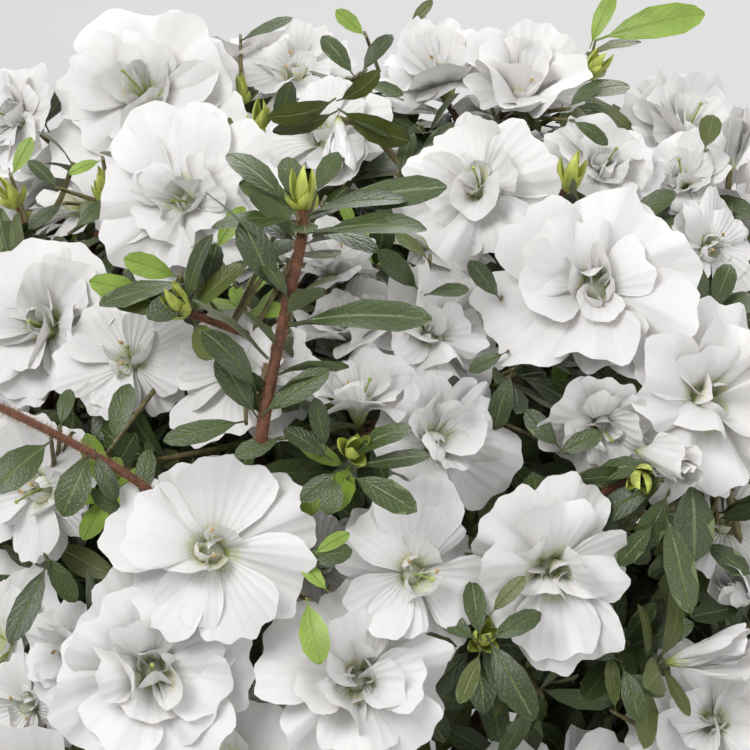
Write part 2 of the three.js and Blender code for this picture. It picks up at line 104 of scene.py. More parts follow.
# Flowers of the best side. Each row: right of and above the middle of the view, how far it stands
# in front of the skin, its width, how far it faces right and up instead of at the viewer, and the
# habit of its petals.
FRONT_FLOWERS = (
    (-84, 104, 40, 82, -0.2, 0.35, "full"),
    (-72, 63, 30, 66, -0.35, 0.1, "full"),
    (-22, 90, 5, 56, -0.5, 0.7, "open"),
    (22, 112, 20, 60, -0.3, 1.3, "bell"),
    (54, 108, 25, 62, 0.3, 1.2, "bell"),
    (37, 70, 25, 58, 0, 0.3, "loose"),
    (78, 36, 34, 76, 0, 0.25, "full"),
    (114, 92, 20, 62, 0.5, 0.8, "full"),
    (124, -6, 34, 80, 0.35, 0.15, "loose"),
    (-122, 20, 24, 66, -0.4, 0.2, "full"),
    (-88, 8, -8, 48, -0.2, 0.3, "open"),
    (-52, 4, -6, 52, -0.3, 0.3, "open"),
    (24, 16, -2, 52, 0.4, 0.2, "loose"),
    (27, -24, 4, 54, 0.5, 0, "loose"),
    (-58, -60, 24, 72, 0, 0.15, "open"),
    (-78, -103, 20, 70, 0.1, 0.1, "full"),
    (-4, -107, 18, 68, 0.1, 0.1, "loose"),
    (18, -69, 14, 60, 0.3, 0.1, "open"),
    (64, -70, 16, 62, 0.1, -0.1, "loose"),
    (117, -119, 10, 58, -0.2, 0.3, "loose"),
    (-124, -42, -4, 54, -0.6, -0.2, "open"),
    (-110, -98, -4, 44, -1.2, 0, "bell"),
)
# Leafy tips of the best side, in rows of the same kind with no width
FRONT_LEAFY_TIPS = (
    (-25, 58, 46, 0, 0.05, 1.6, "leafy"),
    (-8, -28, 12, 0, 0.1, 0.4, "leafy"),
    (37, -93, 0, 0, 0.2, 0.3, "leafy"),
    (92, -34, 14, 0, 0.1, -0.4, "leafy"),
    (74, 104, 0, 0, 0.8, 1, "leafy"),
    (-66, 22, 12, 0, -0.5, 0.6, "leafy"),
)
# Smaller flowers of the best side that show between and behind those
BETWEEN_FLOWERS = (
    (-30, 112, -20, 48, -0.2, 0.9, "open"),
    (82, 78, -10, 46, 0.2, 0.7, "full"),
    (106, 72, -6, 42, -0.3, 0.5, "full"),
    (80, -22, 6, 44, 0.1, -0.5, "bell"),
    (-9, 22, -16, 44, -0.2, 1.6, "bell"),
    (-14, 44, -12, 40, 0.3, 1.3, "bell"),
    (-5, -2, 4, 42, 0.1, 2.6, "bell"),
    (122, 46, -12, 40, 0.6, 0.2, "open"),
    (-131, 92, 0, 46, -0.8, 0.3, "full"),
    (-126, -118, -8, 40, -0.6, -0.2, "open"),
    (-22, -66, -22, 40, -0.2, 0.1, "open"),
    (127, -76, 12, 42, -0.3, 0.3, "rolled"),
    (116, -98, 20, 42, 1.3, 0.35, "rolled"),
    (126, 80, 14, 36, 0.1, 0.9, "rolled"),
    (-12, 82, 12, 34, 0.1, -0.9, "rolled"),
    (100, -30, 22, 38, 0.6, -0.3, "rolled"),
)

# Faces that meet at more than this many degrees keep a sharp edge, as a petal's margin does
SHARP_EDGE = 70

# Petals. Places and lengths are shares of the flower's width, and angles are in degrees. Ruffles
# are waves round the margin, in mm: how long, how high, and how soon they fade to the throat.
# What ends in range is the spread of a random value, and what ends in stray is a random shift.
PETAL = {
    "thickness": 0.3, "width_of_thickness": 70, "claw": 0.07, "corner": 0.7, "squareness": 4.5,
    "notch": 0.05, "notch_stray": 0.3, "notch_width": 0.16, "unevenness": 0.022,
    "margin_waves": (2.3, 4.7), "length_range": 0.3, "fan_range": 0.2, "opening_range": 26,
    "path": 1.2, "stations": 60, "curled_from": 0.55, "curled_to": 1.1, "least_curl": 0.4,
    "curl_range": 1.2, "roll": 32, "rolled_from": 0.15, "rolled_to": 0.4, "stray": 0.34,
    "tube": 0.07, "throat": 0.28, "flat": 0.46, "tube_opening": 16, "base": 0.02,
    "least_radius": 0.02, "crease": 0.4, "crease_width": 0.045, "twist": 6, "green": 0.13,
    "cream": 0.21, "ruffles": ((34, 2.5, 1.8), (19, 0.9, 3.2)), "least_ruffle": 0.5,
    "least_stretch": 0.8, "stretch_range": 0.4, "crumples": (0.7, 0.42), "crumpling": 2.1,
}
# A whorl of petals. Length is a share of the flower's width, opening is from its axis and fan is
# half of a petal's spread, in degrees. Near and far are the faces along and across a petal, and
# wrap is how far it goes round the flower's tube.
Whorl = collections.namedtuple(
    "Whorl", "petals length opening fan curl cup ruffle crumple flatten near far wrap",
    defaults=[0.66])
# Habits of flowers, by their whorls from the outside in
HABITS = {
    "full": (
        Whorl(5, 0.61, 88, 38, 16, 0.03, 1.0, 0.4, 1.0, (9, 24), (5, 12)),
        Whorl(4, 0.55, 68, 42, 20, 0.1, 1.1, 0.6, 0.95, (8, 22), (5, 11)),
        Whorl(4, 0.46, 50, 40, 22, 0.2, 1.1, 0.8, 0.8, (7, 18), (4, 9)),
        Whorl(3, 0.31, 22, 50, -46, 0.4, 0.6, 0.9, 0.4, (6, 10), (3, 5)),
        Whorl(3, 0.37, 34, 42, -24, 0.3, 1.1, 1.2, 0.6, (8, 16), (4, 7)),
    ),
    "open": (
        Whorl(5, 0.6, 92, 32, 10, 0.02, 0.9, 0.4, 1.0, (9, 24), (5, 11)),
        Whorl(4, 0.55, 72, 32, 16, 0.08, 1.0, 0.6, 0.9, (8, 22), (5, 11)),
        Whorl(3, 0.28, 24, 48, -44, 0.4, 0.6, 0.9, 0.4, (6, 10), (3, 5)),
        Whorl(2, 0.38, 40, 40, -20, 0.4, 1.1, 1.1, 0.6, (8, 16), (4, 7)),
    ),
    "bell": (
        Whorl(5, 0.63, 60, 36, 28, 0.08, 1.1, 0.5, 0.9, (9, 24), (5, 11)),
        Whorl(4, 0.58, 42, 38, 26, 0.15, 1.1, 0.6, 0.7, (8, 20), (5, 11)),
        Whorl(3, 0.32, 20, 50, -40, 0.4, 0.6, 0.9, 0.4, (6, 10), (3, 5)),
        Whorl(3, 0.48, 28, 38, -10, 0.3, 1.1, 0.9, 0.6, (8, 18), (4, 7)),
    ),
    "loose": (
        Whorl(5, 0.61, 86, 33, 22, 0.05, 1.4, 0.7, 1.0, (9, 24), (5, 11)),
        Whorl(4, 0.55, 58, 36, 34, 0.12, 1.6, 1.0, 0.85, (9, 22), (5, 11)),
        Whorl(3, 0.44, 30, 46, 30, 0.3, 1.5, 1.4, 0.6, (8, 18), (4, 8)),
        Whorl(3, 0.3, 22, 50, -44, 0.4, 0.6, 1.2, 0.4, (6, 10), (3, 5)),
    ),
    "rolled": (
        Whorl(4, 0.8, 7, 44, -16, 0.0, 0.4, 0.3, 0.0, (10, 12), (6, 7), 1.2),
        Whorl(3, 0.86, 4, 40, -14, 0.0, 0.4, 0.2, 0.0, (10, 12), (6, 7), 1.3),
    ),
}
# The ovary that closes a flower's throat: its foot, its greatest radius, where that is, and its
# top, as shares of the width
OVARY = {"sides": 8, "foot": 0.02, "radius": 0.064, "height": 0.12, "top": 0.18}
# The room that leaves leave to a flower: its radius, the heights over which it widens to that,
# and its depth
FLOWER_ROOM = {"reach": 0.52, "opens": (0.06, 0.3), "height": 0.5}
NEAR_FLOWERS = {"seed": 31, "pieces": 3}
FAR_FLOWERS = {
    "seed": 57, "width": 72, "per_piece": 40,
    "habits": ("full", "full", "full", "loose", "loose", "open", "open", "bell", "bell", "rolled"),
}

# The way that the twigs of some leafy tips take on the best side, in places of the view as above
ROUTES = {0: ((-40, -24, 14), (-36, 0, 26), (-30, 28, 38), (-26, 46, 45))}
ROUTE_RADIUS = 2.0
# A brown twig that crosses between its flowers, in the same way
BRANCH = {"places": ((-134, -10, 14), (-119, -17, 20), (-98, -28, 22), (-78, -41, 12)),
          "radius": 1.5}
# Leaves that stand out on the best side. Each row: where its root shows in the view and how far
# in front of the skin it is, the same for its tip if that were as far off as the root, how far
# its face turns from up to the viewer, its width as a factor, and its tone.
FRONT_LEAVES = (
    (-30, 59, 50, -52, 77, 40, 0.55, 1, "middle"), (-32, 39, 44, -59, 64, 50, 0.2, 0.9, "middle"),
    (-34, 28, 40, -46, 54, 40, 0.8, 1.1, "dark"), (-28, 60, 48, -31, 76, 36, 0.5, 1.2, "middle"),
    (-21, 63, 46, -13, 78, 36, 0.45, 1.1, "middle"),
    (-19, 59, 50, 25, 66, 58, 0.55, 0.8, "middle"), (-24, 56, 50, 11, 61, 56, 0.4, 0.85, "dark"),
    (-22, 49, 48, 18, 51, 58, 0.45, 0.8, "middle"), (-27, 54, 52, -42, 51, 62, 0.3, 1, "middle"),
    (-30, 26, 42, -40, 40, 40, 0.35, 1.1, "middle"), (-28, 27, 40, -12, 34, 46, 0.3, 1, "dark"),
    (-30, 18, 36, 20, 20, 44, 0.45, 0.72, "middle"),
    (-37, 6, 32, -64, 26, 36, 0.3, 0.85, "middle"), (-41, -6, 28, -60, 16, 32, 0.6, 1, "dark"),
    (-41, -15, 24, -55, 7, 24, 0.9, 1.05, "dark"),
    (-40, -14, 26, -16, 2, 30, 0.55, 0.95, "middle"),
    (-61, 30, 16, -79, 19, 22, 0.75, 1.3, "dark"), (-63, 32, 14, -96, 24, 20, 0.35, 0.8, "middle"),
    (-59, 29, 14, -56, 46, 8, 0.7, 1.1, "dark"), (-58, 29, 14, -45, 40, 12, 0.6, 1.1, "middle"),
    (-32, -22, 18, -49, -28, 20, 0.7, 1.1, "middle"),
    (-45, -16, 18, -74, -23, 20, 0.7, 0.8, "middle"),
    (-17, -27, 20, -21, -8, 24, 0.8, 0.95, "dark"), (-9, -30, 18, 13, -19, 20, 0.4, 1.2, "middle"),
    (-7, -32, 18, 19, -28, 24, 0.4, 1, "dark"), (-9, -35, 18, 15, -47, 26, 0.75, 1.05, "middle"),
    (-14, -35, 18, -16, -49, 22, 0.85, 1.5, "middle"),
    (-15, -30, 16, -32, -19, 14, 0.6, 1, "dark"), (-13, -33, 16, -26, -44, 14, 0.8, 1.1, "middle"),
    (-24, -78, 20, -19, -101, 26, 0.9, 1.15, "young"),
    (-16, -76, 14, -26, -65, 12, 0.8, 1, "young"), (-26, -65, 12, -8, -61, 14, 0.8, 1.2, "middle"),
    (110, -35, 26, 113, -65, 30, 0.95, 1.3, "dark"),
    (100, -33, 24, 77, -34, 20, 0.6, 1.1, "middle"),
    (103, -35, 24, 86, -44, 20, 0.7, 1.2, "middle"), (101, -37, 22, 77, -51, 18, 0.7, 1, "dark"),
    (103, -40, 22, 93, -62, 18, 0.8, 1.1, "middle"),
    (101, -47, 22, 111, -83, 26, 0.9, 0.8, "middle"),
    (114, -58, 18, 131, -69, 20, 0.8, 1.1, "dark"), (98, -51, 18, 85, -67, 16, 0.8, 1, "middle"),
    (39, -91, 14, 55, -121, 18, 0.9, 0.9, "dark"), (37, -93, 12, 33, -72, 8, 0.7, 1, "middle"),
    (36, -93, 12, 21, -83, 8, 0.8, 1.1, "middle"), (39, -93, 12, 58, -83, 10, 0.8, 1, "middle"),
    (37, -96, 12, 30, -115, 14, 0.8, 0.9, "olive"), (86, -100, 8, 69, -93, 8, 0.8, 1.1, "dark"),
    (86, -101, 8, 93, -121, 10, 0.8, 1, "middle"), (87, -104, 4, 101, -112, 4, 0.8, 1, "middle"),
    (65, -26, 4, 52, -13, 2, 0.8, 1.1, "dark"), (63, -28, 4, 79, -20, 4, 0.7, 1.1, "middle"),
    (46, 8, 6, 33, 1, 4, 0.7, 1.1, "middle"), (48, 2, 6, 41, -19, 4, 0.8, 1, "dark"),
    (-113, -23, 26, -134, -41, 34, 0.85, 1.25, "middle"),
    (-99, -27, 24, -110, -49, 28, 0.9, 1.3, "middle"),
    (-98, -27, 24, -91, -44, 28, 0.8, 1, "dark"), (-92, -25, 22, -86, -3, 18, 0.7, 1, "middle"),
    (-110, -19, 22, -106, -5, 16, 0.5, 1, "middle"),
    (-114, -65, 10, -127, -94, 14, 0.9, 0.8, "dark"),
    (-86, -51, 10, -99, -40, 8, 0.7, 1, "middle"), (-82, -44, 12, -79, -26, 8, 0.7, 1, "middle"),
    (-116, -62, 10, -104, -79, 8, 0.8, 1, "middle"),
    (-47, 117, 14, -29, 125, 10, 0.4, 0.9, "middle"), (-7, 104, 14, -19, 118, 8, 0.5, 1, "middle"),
    (-5, 105, 14, 6, 119, 8, 0.5, 1, "dark"), (-5, 102, 14, 10, 98, 16, 0.5, 1, "middle"),
    (-9, 89, 16, 6, 83, 22, 0.4, 0.9, "dark"), (115, 78, 24, 118, 91, 16, 0.8, 1.4, "olive"),
    (77, 117, 16, 115, 127, 14, 0.75, 0.8, "young"), (75, 114, 14, 84, 133, 10, 0.6, 0.8, "young"),
    (73, 110, 14, 93, 116, 16, 0.4, 0.8, "olive"), (68, 89, 12, 81, 80, 14, 0.6, 1, "middle"),
    (67, 93, 12, 79, 102, 8, 0.6, 1, "middle"), (-110, 65, 16, -121, 75, 12, 0.6, 1, "middle"),
    (-108, 60, 16, -121, 51, 18, 0.7, 1, "dark"), (-106, 50, 14, -91, 60, 10, 0.6, 1, "middle"),
    (19, 40, 10, 7, 49, 10, 0.4, 1.1, "olive"), (16, 29, 10, 1, 43, 10, 0.8, 1.1, "middle"),
    (17, 28, 10, 33, 30, 14, 0.5, 1, "middle"), (44, 26, 10, 33, 40, 6, 0.7, 1.1, "dark"),
    (-68, 34, 12, -88, 40, 14, 0.8, 1.1, "young"), (-77, 27, 10, -100, 32, 12, 0.8, 1, "young"),
    (-56, 43, 12, -46, 59, 12, 0.7, 1, "young"), (-95, 75, 12, -107, 70, 14, 0.7, 1, "young"),
    (-62, 26, 12, -79, 21, 14, 0.8, 1.1, "young"), (-57, 72, 8, -51, 90, 8, 0.7, 0.9, "olive"),
    (-127, 69, 12, -120, 83, 12, 0.7, 1, "young"), (-22, -63, 14, -9, -55, 14, 0.8, 0.9, "young"),
    (40, -84, 10, 52, -70, 10, 0.8, 0.9, "olive"), (84, -118, 8, 82, -99, 8, 0.7, 0.8, "olive"),
    (12, 121, 8, 20, 131, 8, 0.7, 0.9, "olive"), (-3, 118, 8, -14, 127, 8, 0.7, 1.1, "young"),
)
# Smaller flowers between those of the other sides
SMALL = {
    "seed": 17, "count": 190, "lowest": -0.5, "share": 0.9, "scatter": 0.05, "turn": 1,
    "room": 38, "width": 38, "range": 22,
    "habits": ("bell", "open", "bell", "open", "full", "bell"),
}

# Finer shoots than the solids have, in mm and in shares of their length. Least rise is how much
# deeper in the crown a shoot's root lies, and hold is how near to a root no new stalk is needed.
SHOOT = {
    "least_rise": 0.05, "radius": 1.1, "root_radius": 1.6, "sway": 0.3, "sag": 0.12, "rise": 0.04,
    "least_length": 12, "steps": 5, "lift": 0.6, "hold": 5, "behind": 20, "bend": 2, "tip": 0.45,
}
# Outer shoots that fill the skin, and inner ones that close the view inwards
SHOOTS = (
    {"seed": 21, "count": 620, "share": 0.8, "scatter": 0.17, "lowest": -0.62, "leaves": 7,
     "young": 0.1},
    {"seed": 22, "count": 240, "share": 0.56, "scatter": 0.24, "lowest": -0.5, "leaves": 6,
     "young": 0},
)
# The stalk of a flower that no twig ends in: its elbow's place, its bow, and its tip's thickness
STALK = {"elbow": 0.6, "bow": 0.25, "tip": 1.3}
# Leaves, in mm: their length and its range, and the shares of it that their width and stalk take
LEAF = {
    "seed": 5, "length": 25, "range": 12, "width": 0.4, "stalk": 0.13, "thickness": 0.36,
    "kinds": 6, "least_breadth": 0.88, "breadth_range": 0.24,
}
# How leaves bend, as shares of their length: arch, fold, cup and ripples of the blade, which
# starts at the stalk's end and is whole at its own share, and the keel under the stalk in mm
LEAF_FORM = {
    "arch": 0.02, "arch_range": 0.11, "fold": 0.1, "fold_range": 0.22, "sway": 0.12,
    "twist": 0.7, "blade": 0.35, "cup": 0.22, "ripple": 0.012, "ripples": 11, "phase": 3,
    "keel": 0.5,
}
# Half a leaf's outline from its root to its tip: shares of its length, and of its greatest width
LEAF_OUTLINE = ((0, 0.13, 0.28, 0.48, 0.7, 0.88, 0.97, 1),
                (0.05, 0.07, 0.56, 0.92, 1, 0.74, 0.36, 0.1))
# Rows and columns of faces on the leaves of the best side's outer layer, and on all others
LEAF_ROWS = {"near": (0, 0.13, 0.29, 0.52, 0.78, 0.93, 1), "far": (0, 0.13, 0.38, 0.72, 0.93, 1)}
LEAF_COLUMNS = {"near": 4, "far": 2}
NEAR_LEAF_DEPTH = 0.74
# Leaves keep between these heights
LEAF_HEIGHTS = (12, 430)
# Which share of the leaves has each tone. Young leaves stand at the ends of shoots only.
TONES = (("dark", 0.5), ("middle", 0.3), ("olive", 0.13), ("young", 0.07))
# Leaves in whorls: how many, how far they open from the shoot in degrees and the range of that,
# and how far below its end the first one and each next one stand, in mm
WHORLS = {
    "shoot": {"opening": 48, "range": 42, "first": 1, "step": 1.1},
    "shoot_side": {"opening": 50, "range": 30, "first": 0, "step": 2},
    "tip": {"opening": 62, "range": 38, "first": 3, "step": 1.6},
    "twig": {"opening": 55, "range": 30, "first": 0, "step": 0},
}
SIDE_WHORLS = {"places": (0.55, 0.75), "leaves": 2, "size": 0.9}
YOUNG_LEAF_SIZE = 0.8
TIP_LEAVES = {"flower": 7, "bud": 10, "longer": 2, "young": 0.08}
TWIG_LEAVES = {"gap": 9, "least_depth": 0.5}
FOLIAGE_SEED = 83

# Limbs with bark: faces round them, length of a ring of faces in mm, and depth of their ridges
BARK = {"trunk_sides": 64, "bough_sides": 28, "step": 2.2, "least_rings": 8, "trunk_depth": 0.9,
        "bough_depth": 0.35, "foot": 12}
# Ridges of bark: how many round a limb, how long they are in mm, and how deep
RIDGES = ((5, 31, 0.5), (9, 17, 0.45), (14, 11, 0.35), (23, 7, 0.2))
# A direction that no limb takes, which the faces round it start from
LIMB_SEAM = (0.31, 0.95, 0.05)
# Stamens and styles: how many stamens each habit shows, and sizes in mm or shares of the width
HEART = {
    "seed": 41, "stamens": {"full": 0, "loose": 0, "open": 2, "bell": 1}, "style_share": 0.5,
    "lean": 0.5, "style_lean": 0.4, "height": 0.3, "height_range": 0.1, "style_height": 0.07,
    "anther": 1.1, "steps": 6,
}
# The calyx of a flower 70 mm wide, in mm: where its sepals run, and how thick they are
CALYX = {"sepals": 5, "width": 70, "heights": (2.2, 7), "radii": (1.6, 3.1),
         "girths": (1.2, 1.35, 1.0, 0.12)}
# Buds, in mm: the scales lean out by so many degrees from the first on, each shorter and longer
# by chance, and have an outline as leaves have
BUD = {
    "seed": 61, "scales": 6, "length": 17, "width": 6.4, "rows": 6, "columns": 4,
    "thickness": 0.4, "lean": 5, "lean_step": 9, "shorter": 0.08, "sunk": 1.5, "shown": 0.7,
}
BUD_OUTLINE = ((0, 0.15, 0.4, 0.75, 1), (0.3, 0.75, 1, 0.6, 0.02))
BRISTLES = {"seed": 4, "density": 1.1, "length": 1.7, "girth": 0.09, "lean": 0.7,
            "smallest": 0.5, "largest": 1.2}

# Finishes of what is brown or green all over: name, roughness, dark patches a metre, and depth of
# the grain in metres
STEM_FINISHES = {
    "bark": ("Ridged bark", 0.85, 150, 0.0006), "twig": ("Brown twig bark", 0.6, 420, 0.0002),
    "shoot": ("Young shoot bark", 0.6, 420, 0.0002), "bristle": ("Bristle", 0.6, 420, 0.00002),
    "filament": ("Filament", 0.5, 500, 0.00002), "anther": ("Anther", 0.8, 900, 0.0001),
    "sepal": ("Sepal", 0.55, 300, 0.0001), "bud": ("Bud scale", 0.45, 300, 0.0001),
}
# How much light shines through a petal, from its margin to the throat, and through a leaf
PETAL_GLOW = {"petal": 0.37, "cream": 0.5, "throat": 0.6}
LEAF_GLOW = 0.16

# The stage: a floor and three soft lights. Each light: name, place, size and power.
FLOOR_SIZE = 14
LIGHTS = (
    ("key", (-1.3, -1.4, 2.5), 1.6, 58),
    ("fill", (1.9, -1.5, 1.3), 2.0, 18),
    ("back", (0.4, 2.2, 2.0), 2.2, 56),
)
SKY = {"colour": (0.95, 0.95, 0.99, 1.0), "strength": 0.6}
CAMERA = {"lens": 137.4, "reach": 50}


def mix(a, b, share):
    return a + (b - a) * share


def unit(vector):
    return vector / np.linalg.norm(vector)


def smooth_step(value, low, high):
    t = np.clip((value - low) / (high - low), 0, 1)
    return t * t * (3 - 2 * t)


def random_from(seed):
    """Repeatable random numbers from 0 to 1."""
    state = seed

    def draw():
        nonlocal state
        state = (state * 1664525 + 1013904223) % 2 ** 32
        return state / 2 ** 32

    return draw


def varied(draw, spread):
    """A random factor round 1."""
    return 1 + spread * (draw() - 0.5)


def direction_at(azimuth, elevation):
    level = math.cos(elevation)
    return np.array([level * math.cos(azimuth), level * math.sin(azimuth), math.sin(elevation)])


def skin_radius(direction):
    """Distance from the focus to the skin."""
    level = math.hypot(direction[0], direction[1])
    azimuth = math.atan2(direction[1], direction[0])
    reach = CROWN["rise"] if direction[2] > 0 else CROWN["fall"]
    power = CROWN["squareness"]
    total = (level / CROWN["half_width"]) ** power + (abs(direction[2]) / reach) ** power
    waves = sum(level * depth * math.sin(count * azimuth + turn) for count, depth, turn in LOBES)
    return (1 + waves) * total ** (-1 / power)


def on_skin(direction, share=1.0):
    return FOCUS + direction * share * skin_radius(direction)


def depth_of(point):
    """How far out a point is: 1 on the skin."""
    out = point - FOCUS
    distance = np.linalg.norm(out)
    return distance / skin_radius(out / distance)


def skin_normal(point):
    return unit(np.array([depth_of(point + axis) - depth_of(point - axis) for axis in np.eye(3)]))


TO_VIEWER = direction_at(-math.pi / 2, math.radians(VIEW["elevation"]))
VIEW_RIGHT = np.array([1.0, 0.0, 0.0])
VIEW_UP = np.cross(TO_VIEWER, VIEW_RIGHT)
AIM = on_skin(direction_at(-math.pi / 2, math.radians(VIEW["aim"])))
EYE = AIM + TO_VIEWER * VIEW["distance"]


def ray_to(right, above):
    return unit(AIM + VIEW_RIGHT * right + VIEW_UP * above - EYE)


def seen_at(right, above, proud):
    """The place on the skin, or nearest to it, that shows at a place of the view, brought
    forward by proud."""
    ray = ray_to(right, above)
    distances = np.arange(VIEW["distance"] - VIEW["search"], VIEW["distance"] + VIEW["search"],
                          VIEW["step"])
    depths = [max(depth_of(EYE + ray * distance), 1) for distance in distances]
    return EYE + ray * (distances[int(np.argmin(depths))] - proud)


def in_view(point):
    """Where a point shows in the view, right of and above its middle."""
    ray = point - EYE
    scale = VIEW["distance"] / -ray.dot(TO_VIEWER)
    return ray.dot(VIEW_RIGHT) * scale, ray.dot(VIEW_UP) * scale


def on_best_side(out, crest):
    """Whether the skin in a direction from the focus shows in the view, below its crest."""
    spot = on_skin(out)
    right, above = in_view(spot)
    framed = abs(right) < VIEW["half"] and -VIEW["half"] < above < crest
    return framed and skin_normal(spot).dot(TO_VIEWER) > 0


def close_to(point, places, distance):
    return any(np.linalg.norm(place - point) < distance for place in places)


class Tip:
    """The end of a twig: a flower that faces along its axis, or a bud among leaves where it has
    no width."""

    def __init__(self, centre, axis, width, spin, habit):
        self.centre = centre
        self.axis = axis
        self.width = width
        self.spin = spin
        self.habit = habit
        self.foot = centre - axis * FLOWER_MOUTH * width


def view_tips(rows):
    """Tips at places of the view, as the lists of the best side give them."""
    tips = []
    for index, row in enumerate(rows):
        right, above, proud, width, faces_right, faces_up, habit = row
        axis = unit(TO_VIEWER + VIEW_RIGHT * faces_right + VIEW_UP * faces_up)
        tips.append(Tip(seen_at(right, above, proud), axis, width, index * GOLDEN_ANGLE, habit))
    return tips


def spiral_direction(row, index, turn=0.0):
    """A direction of the golden-angle spiral that deals a row's places out over the crown."""
    height = row["lowest"] + (1 - row["lowest"]) * ((index + 0.5) / row["count"])
    return direction_at(index * GOLDEN_ANGLE + turn, math.asin(height))


def scattered(row, out, draw):
    """A place in a direction, somewhere round the row's share of the way to the skin."""
    return on_skin(out, row["share"] + row["scatter"] * draw())


def is_free(centre, tips, room):
    return not close_to(centre, [tip.centre for tip in tips], room)


def spiral_tips(spiral, others):
    """More tips in a spiral over the crown. The best side is left to its lists, up to its
    crest."""
    draw = random_from(spiral["seed"])
    crest = VIEW["crest"] if spiral is FILL else math.inf
    tips = []
    for index in range(spiral["count"]):
        out = spiral_direction(spiral, index)
        centre = scattered(spiral, out, draw)
        scatter = np.array([draw() - 0.5, draw() - 0.5, 0.5 + 0.5 * draw()])
        axis = unit(skin_normal(centre) + scatter * AXIS_SCATTER)
        width = FLOWER_WIDTH["middle"] + FLOWER_WIDTH["range"] * (draw() - 0.5)
        if index % spiral["leafy_every"] == 0:
            tip = Tip(centre, axis, 0, index, "leafy")
        else:
            tip = Tip(centre, axis, width, index, "full")
        if is_free(centre, others + tips, spiral["room"]) and not on_best_side(out, crest):
            tips.append(tip)
    return tips


def small_tips(others):
    """Smaller flowers in the gaps of the sides that the best side's lists leave out."""
    draw = random_from(SMALL["seed"])
    tips = []
    for index in range(SMALL["count"]):
        out = spiral_direction(SMALL, index, SMALL["turn"])
        centre = scattered(SMALL, out, draw)
        scatter = np.array([draw() - 0.5, draw() - 0.5, draw()])
        axis = unit(skin_normal(centre) + scatter)
        width = SMALL["width"] + SMALL["range"] * draw()
        habit = SMALL["habits"][int(draw() * len(SMALL["habits"]))]
        free = is_free(centre, others + tips, SMALL["room"])
        if free and not on_best_side(out, VIEW["crest"]):
            tips.append(Tip(centre, axis, width, index, habit))
    return tips


class Mass:
    """A mass of the crown, with its ring and its site, where its bough ends."""

    def __init__(self, ring, index):
        self.ring = ring
        self.azimuth = math.radians(ring["turn"] + 360 * index / ring["count"])
        out = direction_at(self.azimuth, math.radians(ring["elevation"]))
        self.site = on_skin(out, SITE_SHARE)
        self.tips = []
        self.twigs = []

    def bough_point(self, share):
        """A point of the bough's curve, from its root in the trunk to the site."""
        middle = np.array([*TRUNK_LEAN, 1.0]) * self.ring["height"]
        root = middle + direction_at(self.azimuth, 0) * self.ring["out"]
        elbow = mix(root, self.site, BOUGH["elbow"]) - UP * self.ring["sag"]
        return mix(mix(root, elbow, share), mix(elbow, self.site, share), share)

    def heading(self):
        """The way that the bough points where it ends."""
        return unit(self.bough_point(1) - self.bough_point(0.99))


class Twig:
    """A twig's line, its radii, and the tip that it ends in, if any."""

    def __init__(self, points, radii):
        self.points = points
        self.radii = radii
        self.tip = None

    def heading(self):
        return unit(self.points[-1] - self.points[-2])


def middle_of(tips):
    return sum(tip.foot for tip in tips) / len(tips)


def branch(twig, tips, twigs, draw):
    """Twigs to the feet of the tips. At each fork the tips part into two halves across their
    widest spread: the half that lies straighter ahead carries the twig on, and the other has a
    new twig."""
    if len(tips) == 1:
        twig.points.append(tips[0].foot)
        twig.radii.append(TWIG["tip_radius"])
        twig.tip = tips[0]
        return
    fork = twig.points[-1]
    ahead = twig.heading()
    feet = np.array([tip.foot for tip in tips])
    widest = int(np.argmax(feet.max(0) - feet.min(0)))
    ordered = sorted(tips, key=lambda tip: tip.foot[widest])
    half = math.ceil(len(ordered) / 2)
    parts = sorted([ordered[:half], ordered[half:]],
                   key=lambda part: -unit(middle_of(part) - fork).dot(ahead))
    for index, part in enumerate(parts):
        radius = TWIG["tip_radius"] * len(part) ** TWIG["thickening"]
        carried = twig if index == 0 else Twig([fork], [radius])
        if index > 0:
            twigs.append(carried)
        if len(part) > 1:
            share = TWIG["fork_share"] + TWIG["fork_scatter"] * draw()
            carried.points.append(mix(fork, middle_of(part), share))
            carried.radii.append(radius)
        branch(carried, part, twigs, draw)


def grow_crown():
    """The masses, with the same tips and twigs as the solids have."""
    masses = [Mass(ring, index) for ring in RINGS for index in range(ring["count"])]
    tips = view_tips(FRONT_FLOWERS + FRONT_LEAFY_TIPS)
    tips += spiral_tips(ROUND, tips)
    tips += spiral_tips(FILL, tips)
    for tip in tips:
        nearest = min(masses, key=lambda mass: np.linalg.norm(tip.foot - mass.site))
        nearest.tips.append(tip)
    for index, mass in enumerate(masses):
        heading = mass.heading()
        start = mass.site + heading * STEM["gap"]
        stem = Twig([start, start + heading * STEM["length"]],
                    [STEM["radius"], STEM["radius"] * STEM["taper"]])
        mass.twigs = [stem]
        branch(stem, mass.tips, mass.twigs, random_from(TWIG["seed"] + index))
    return masses


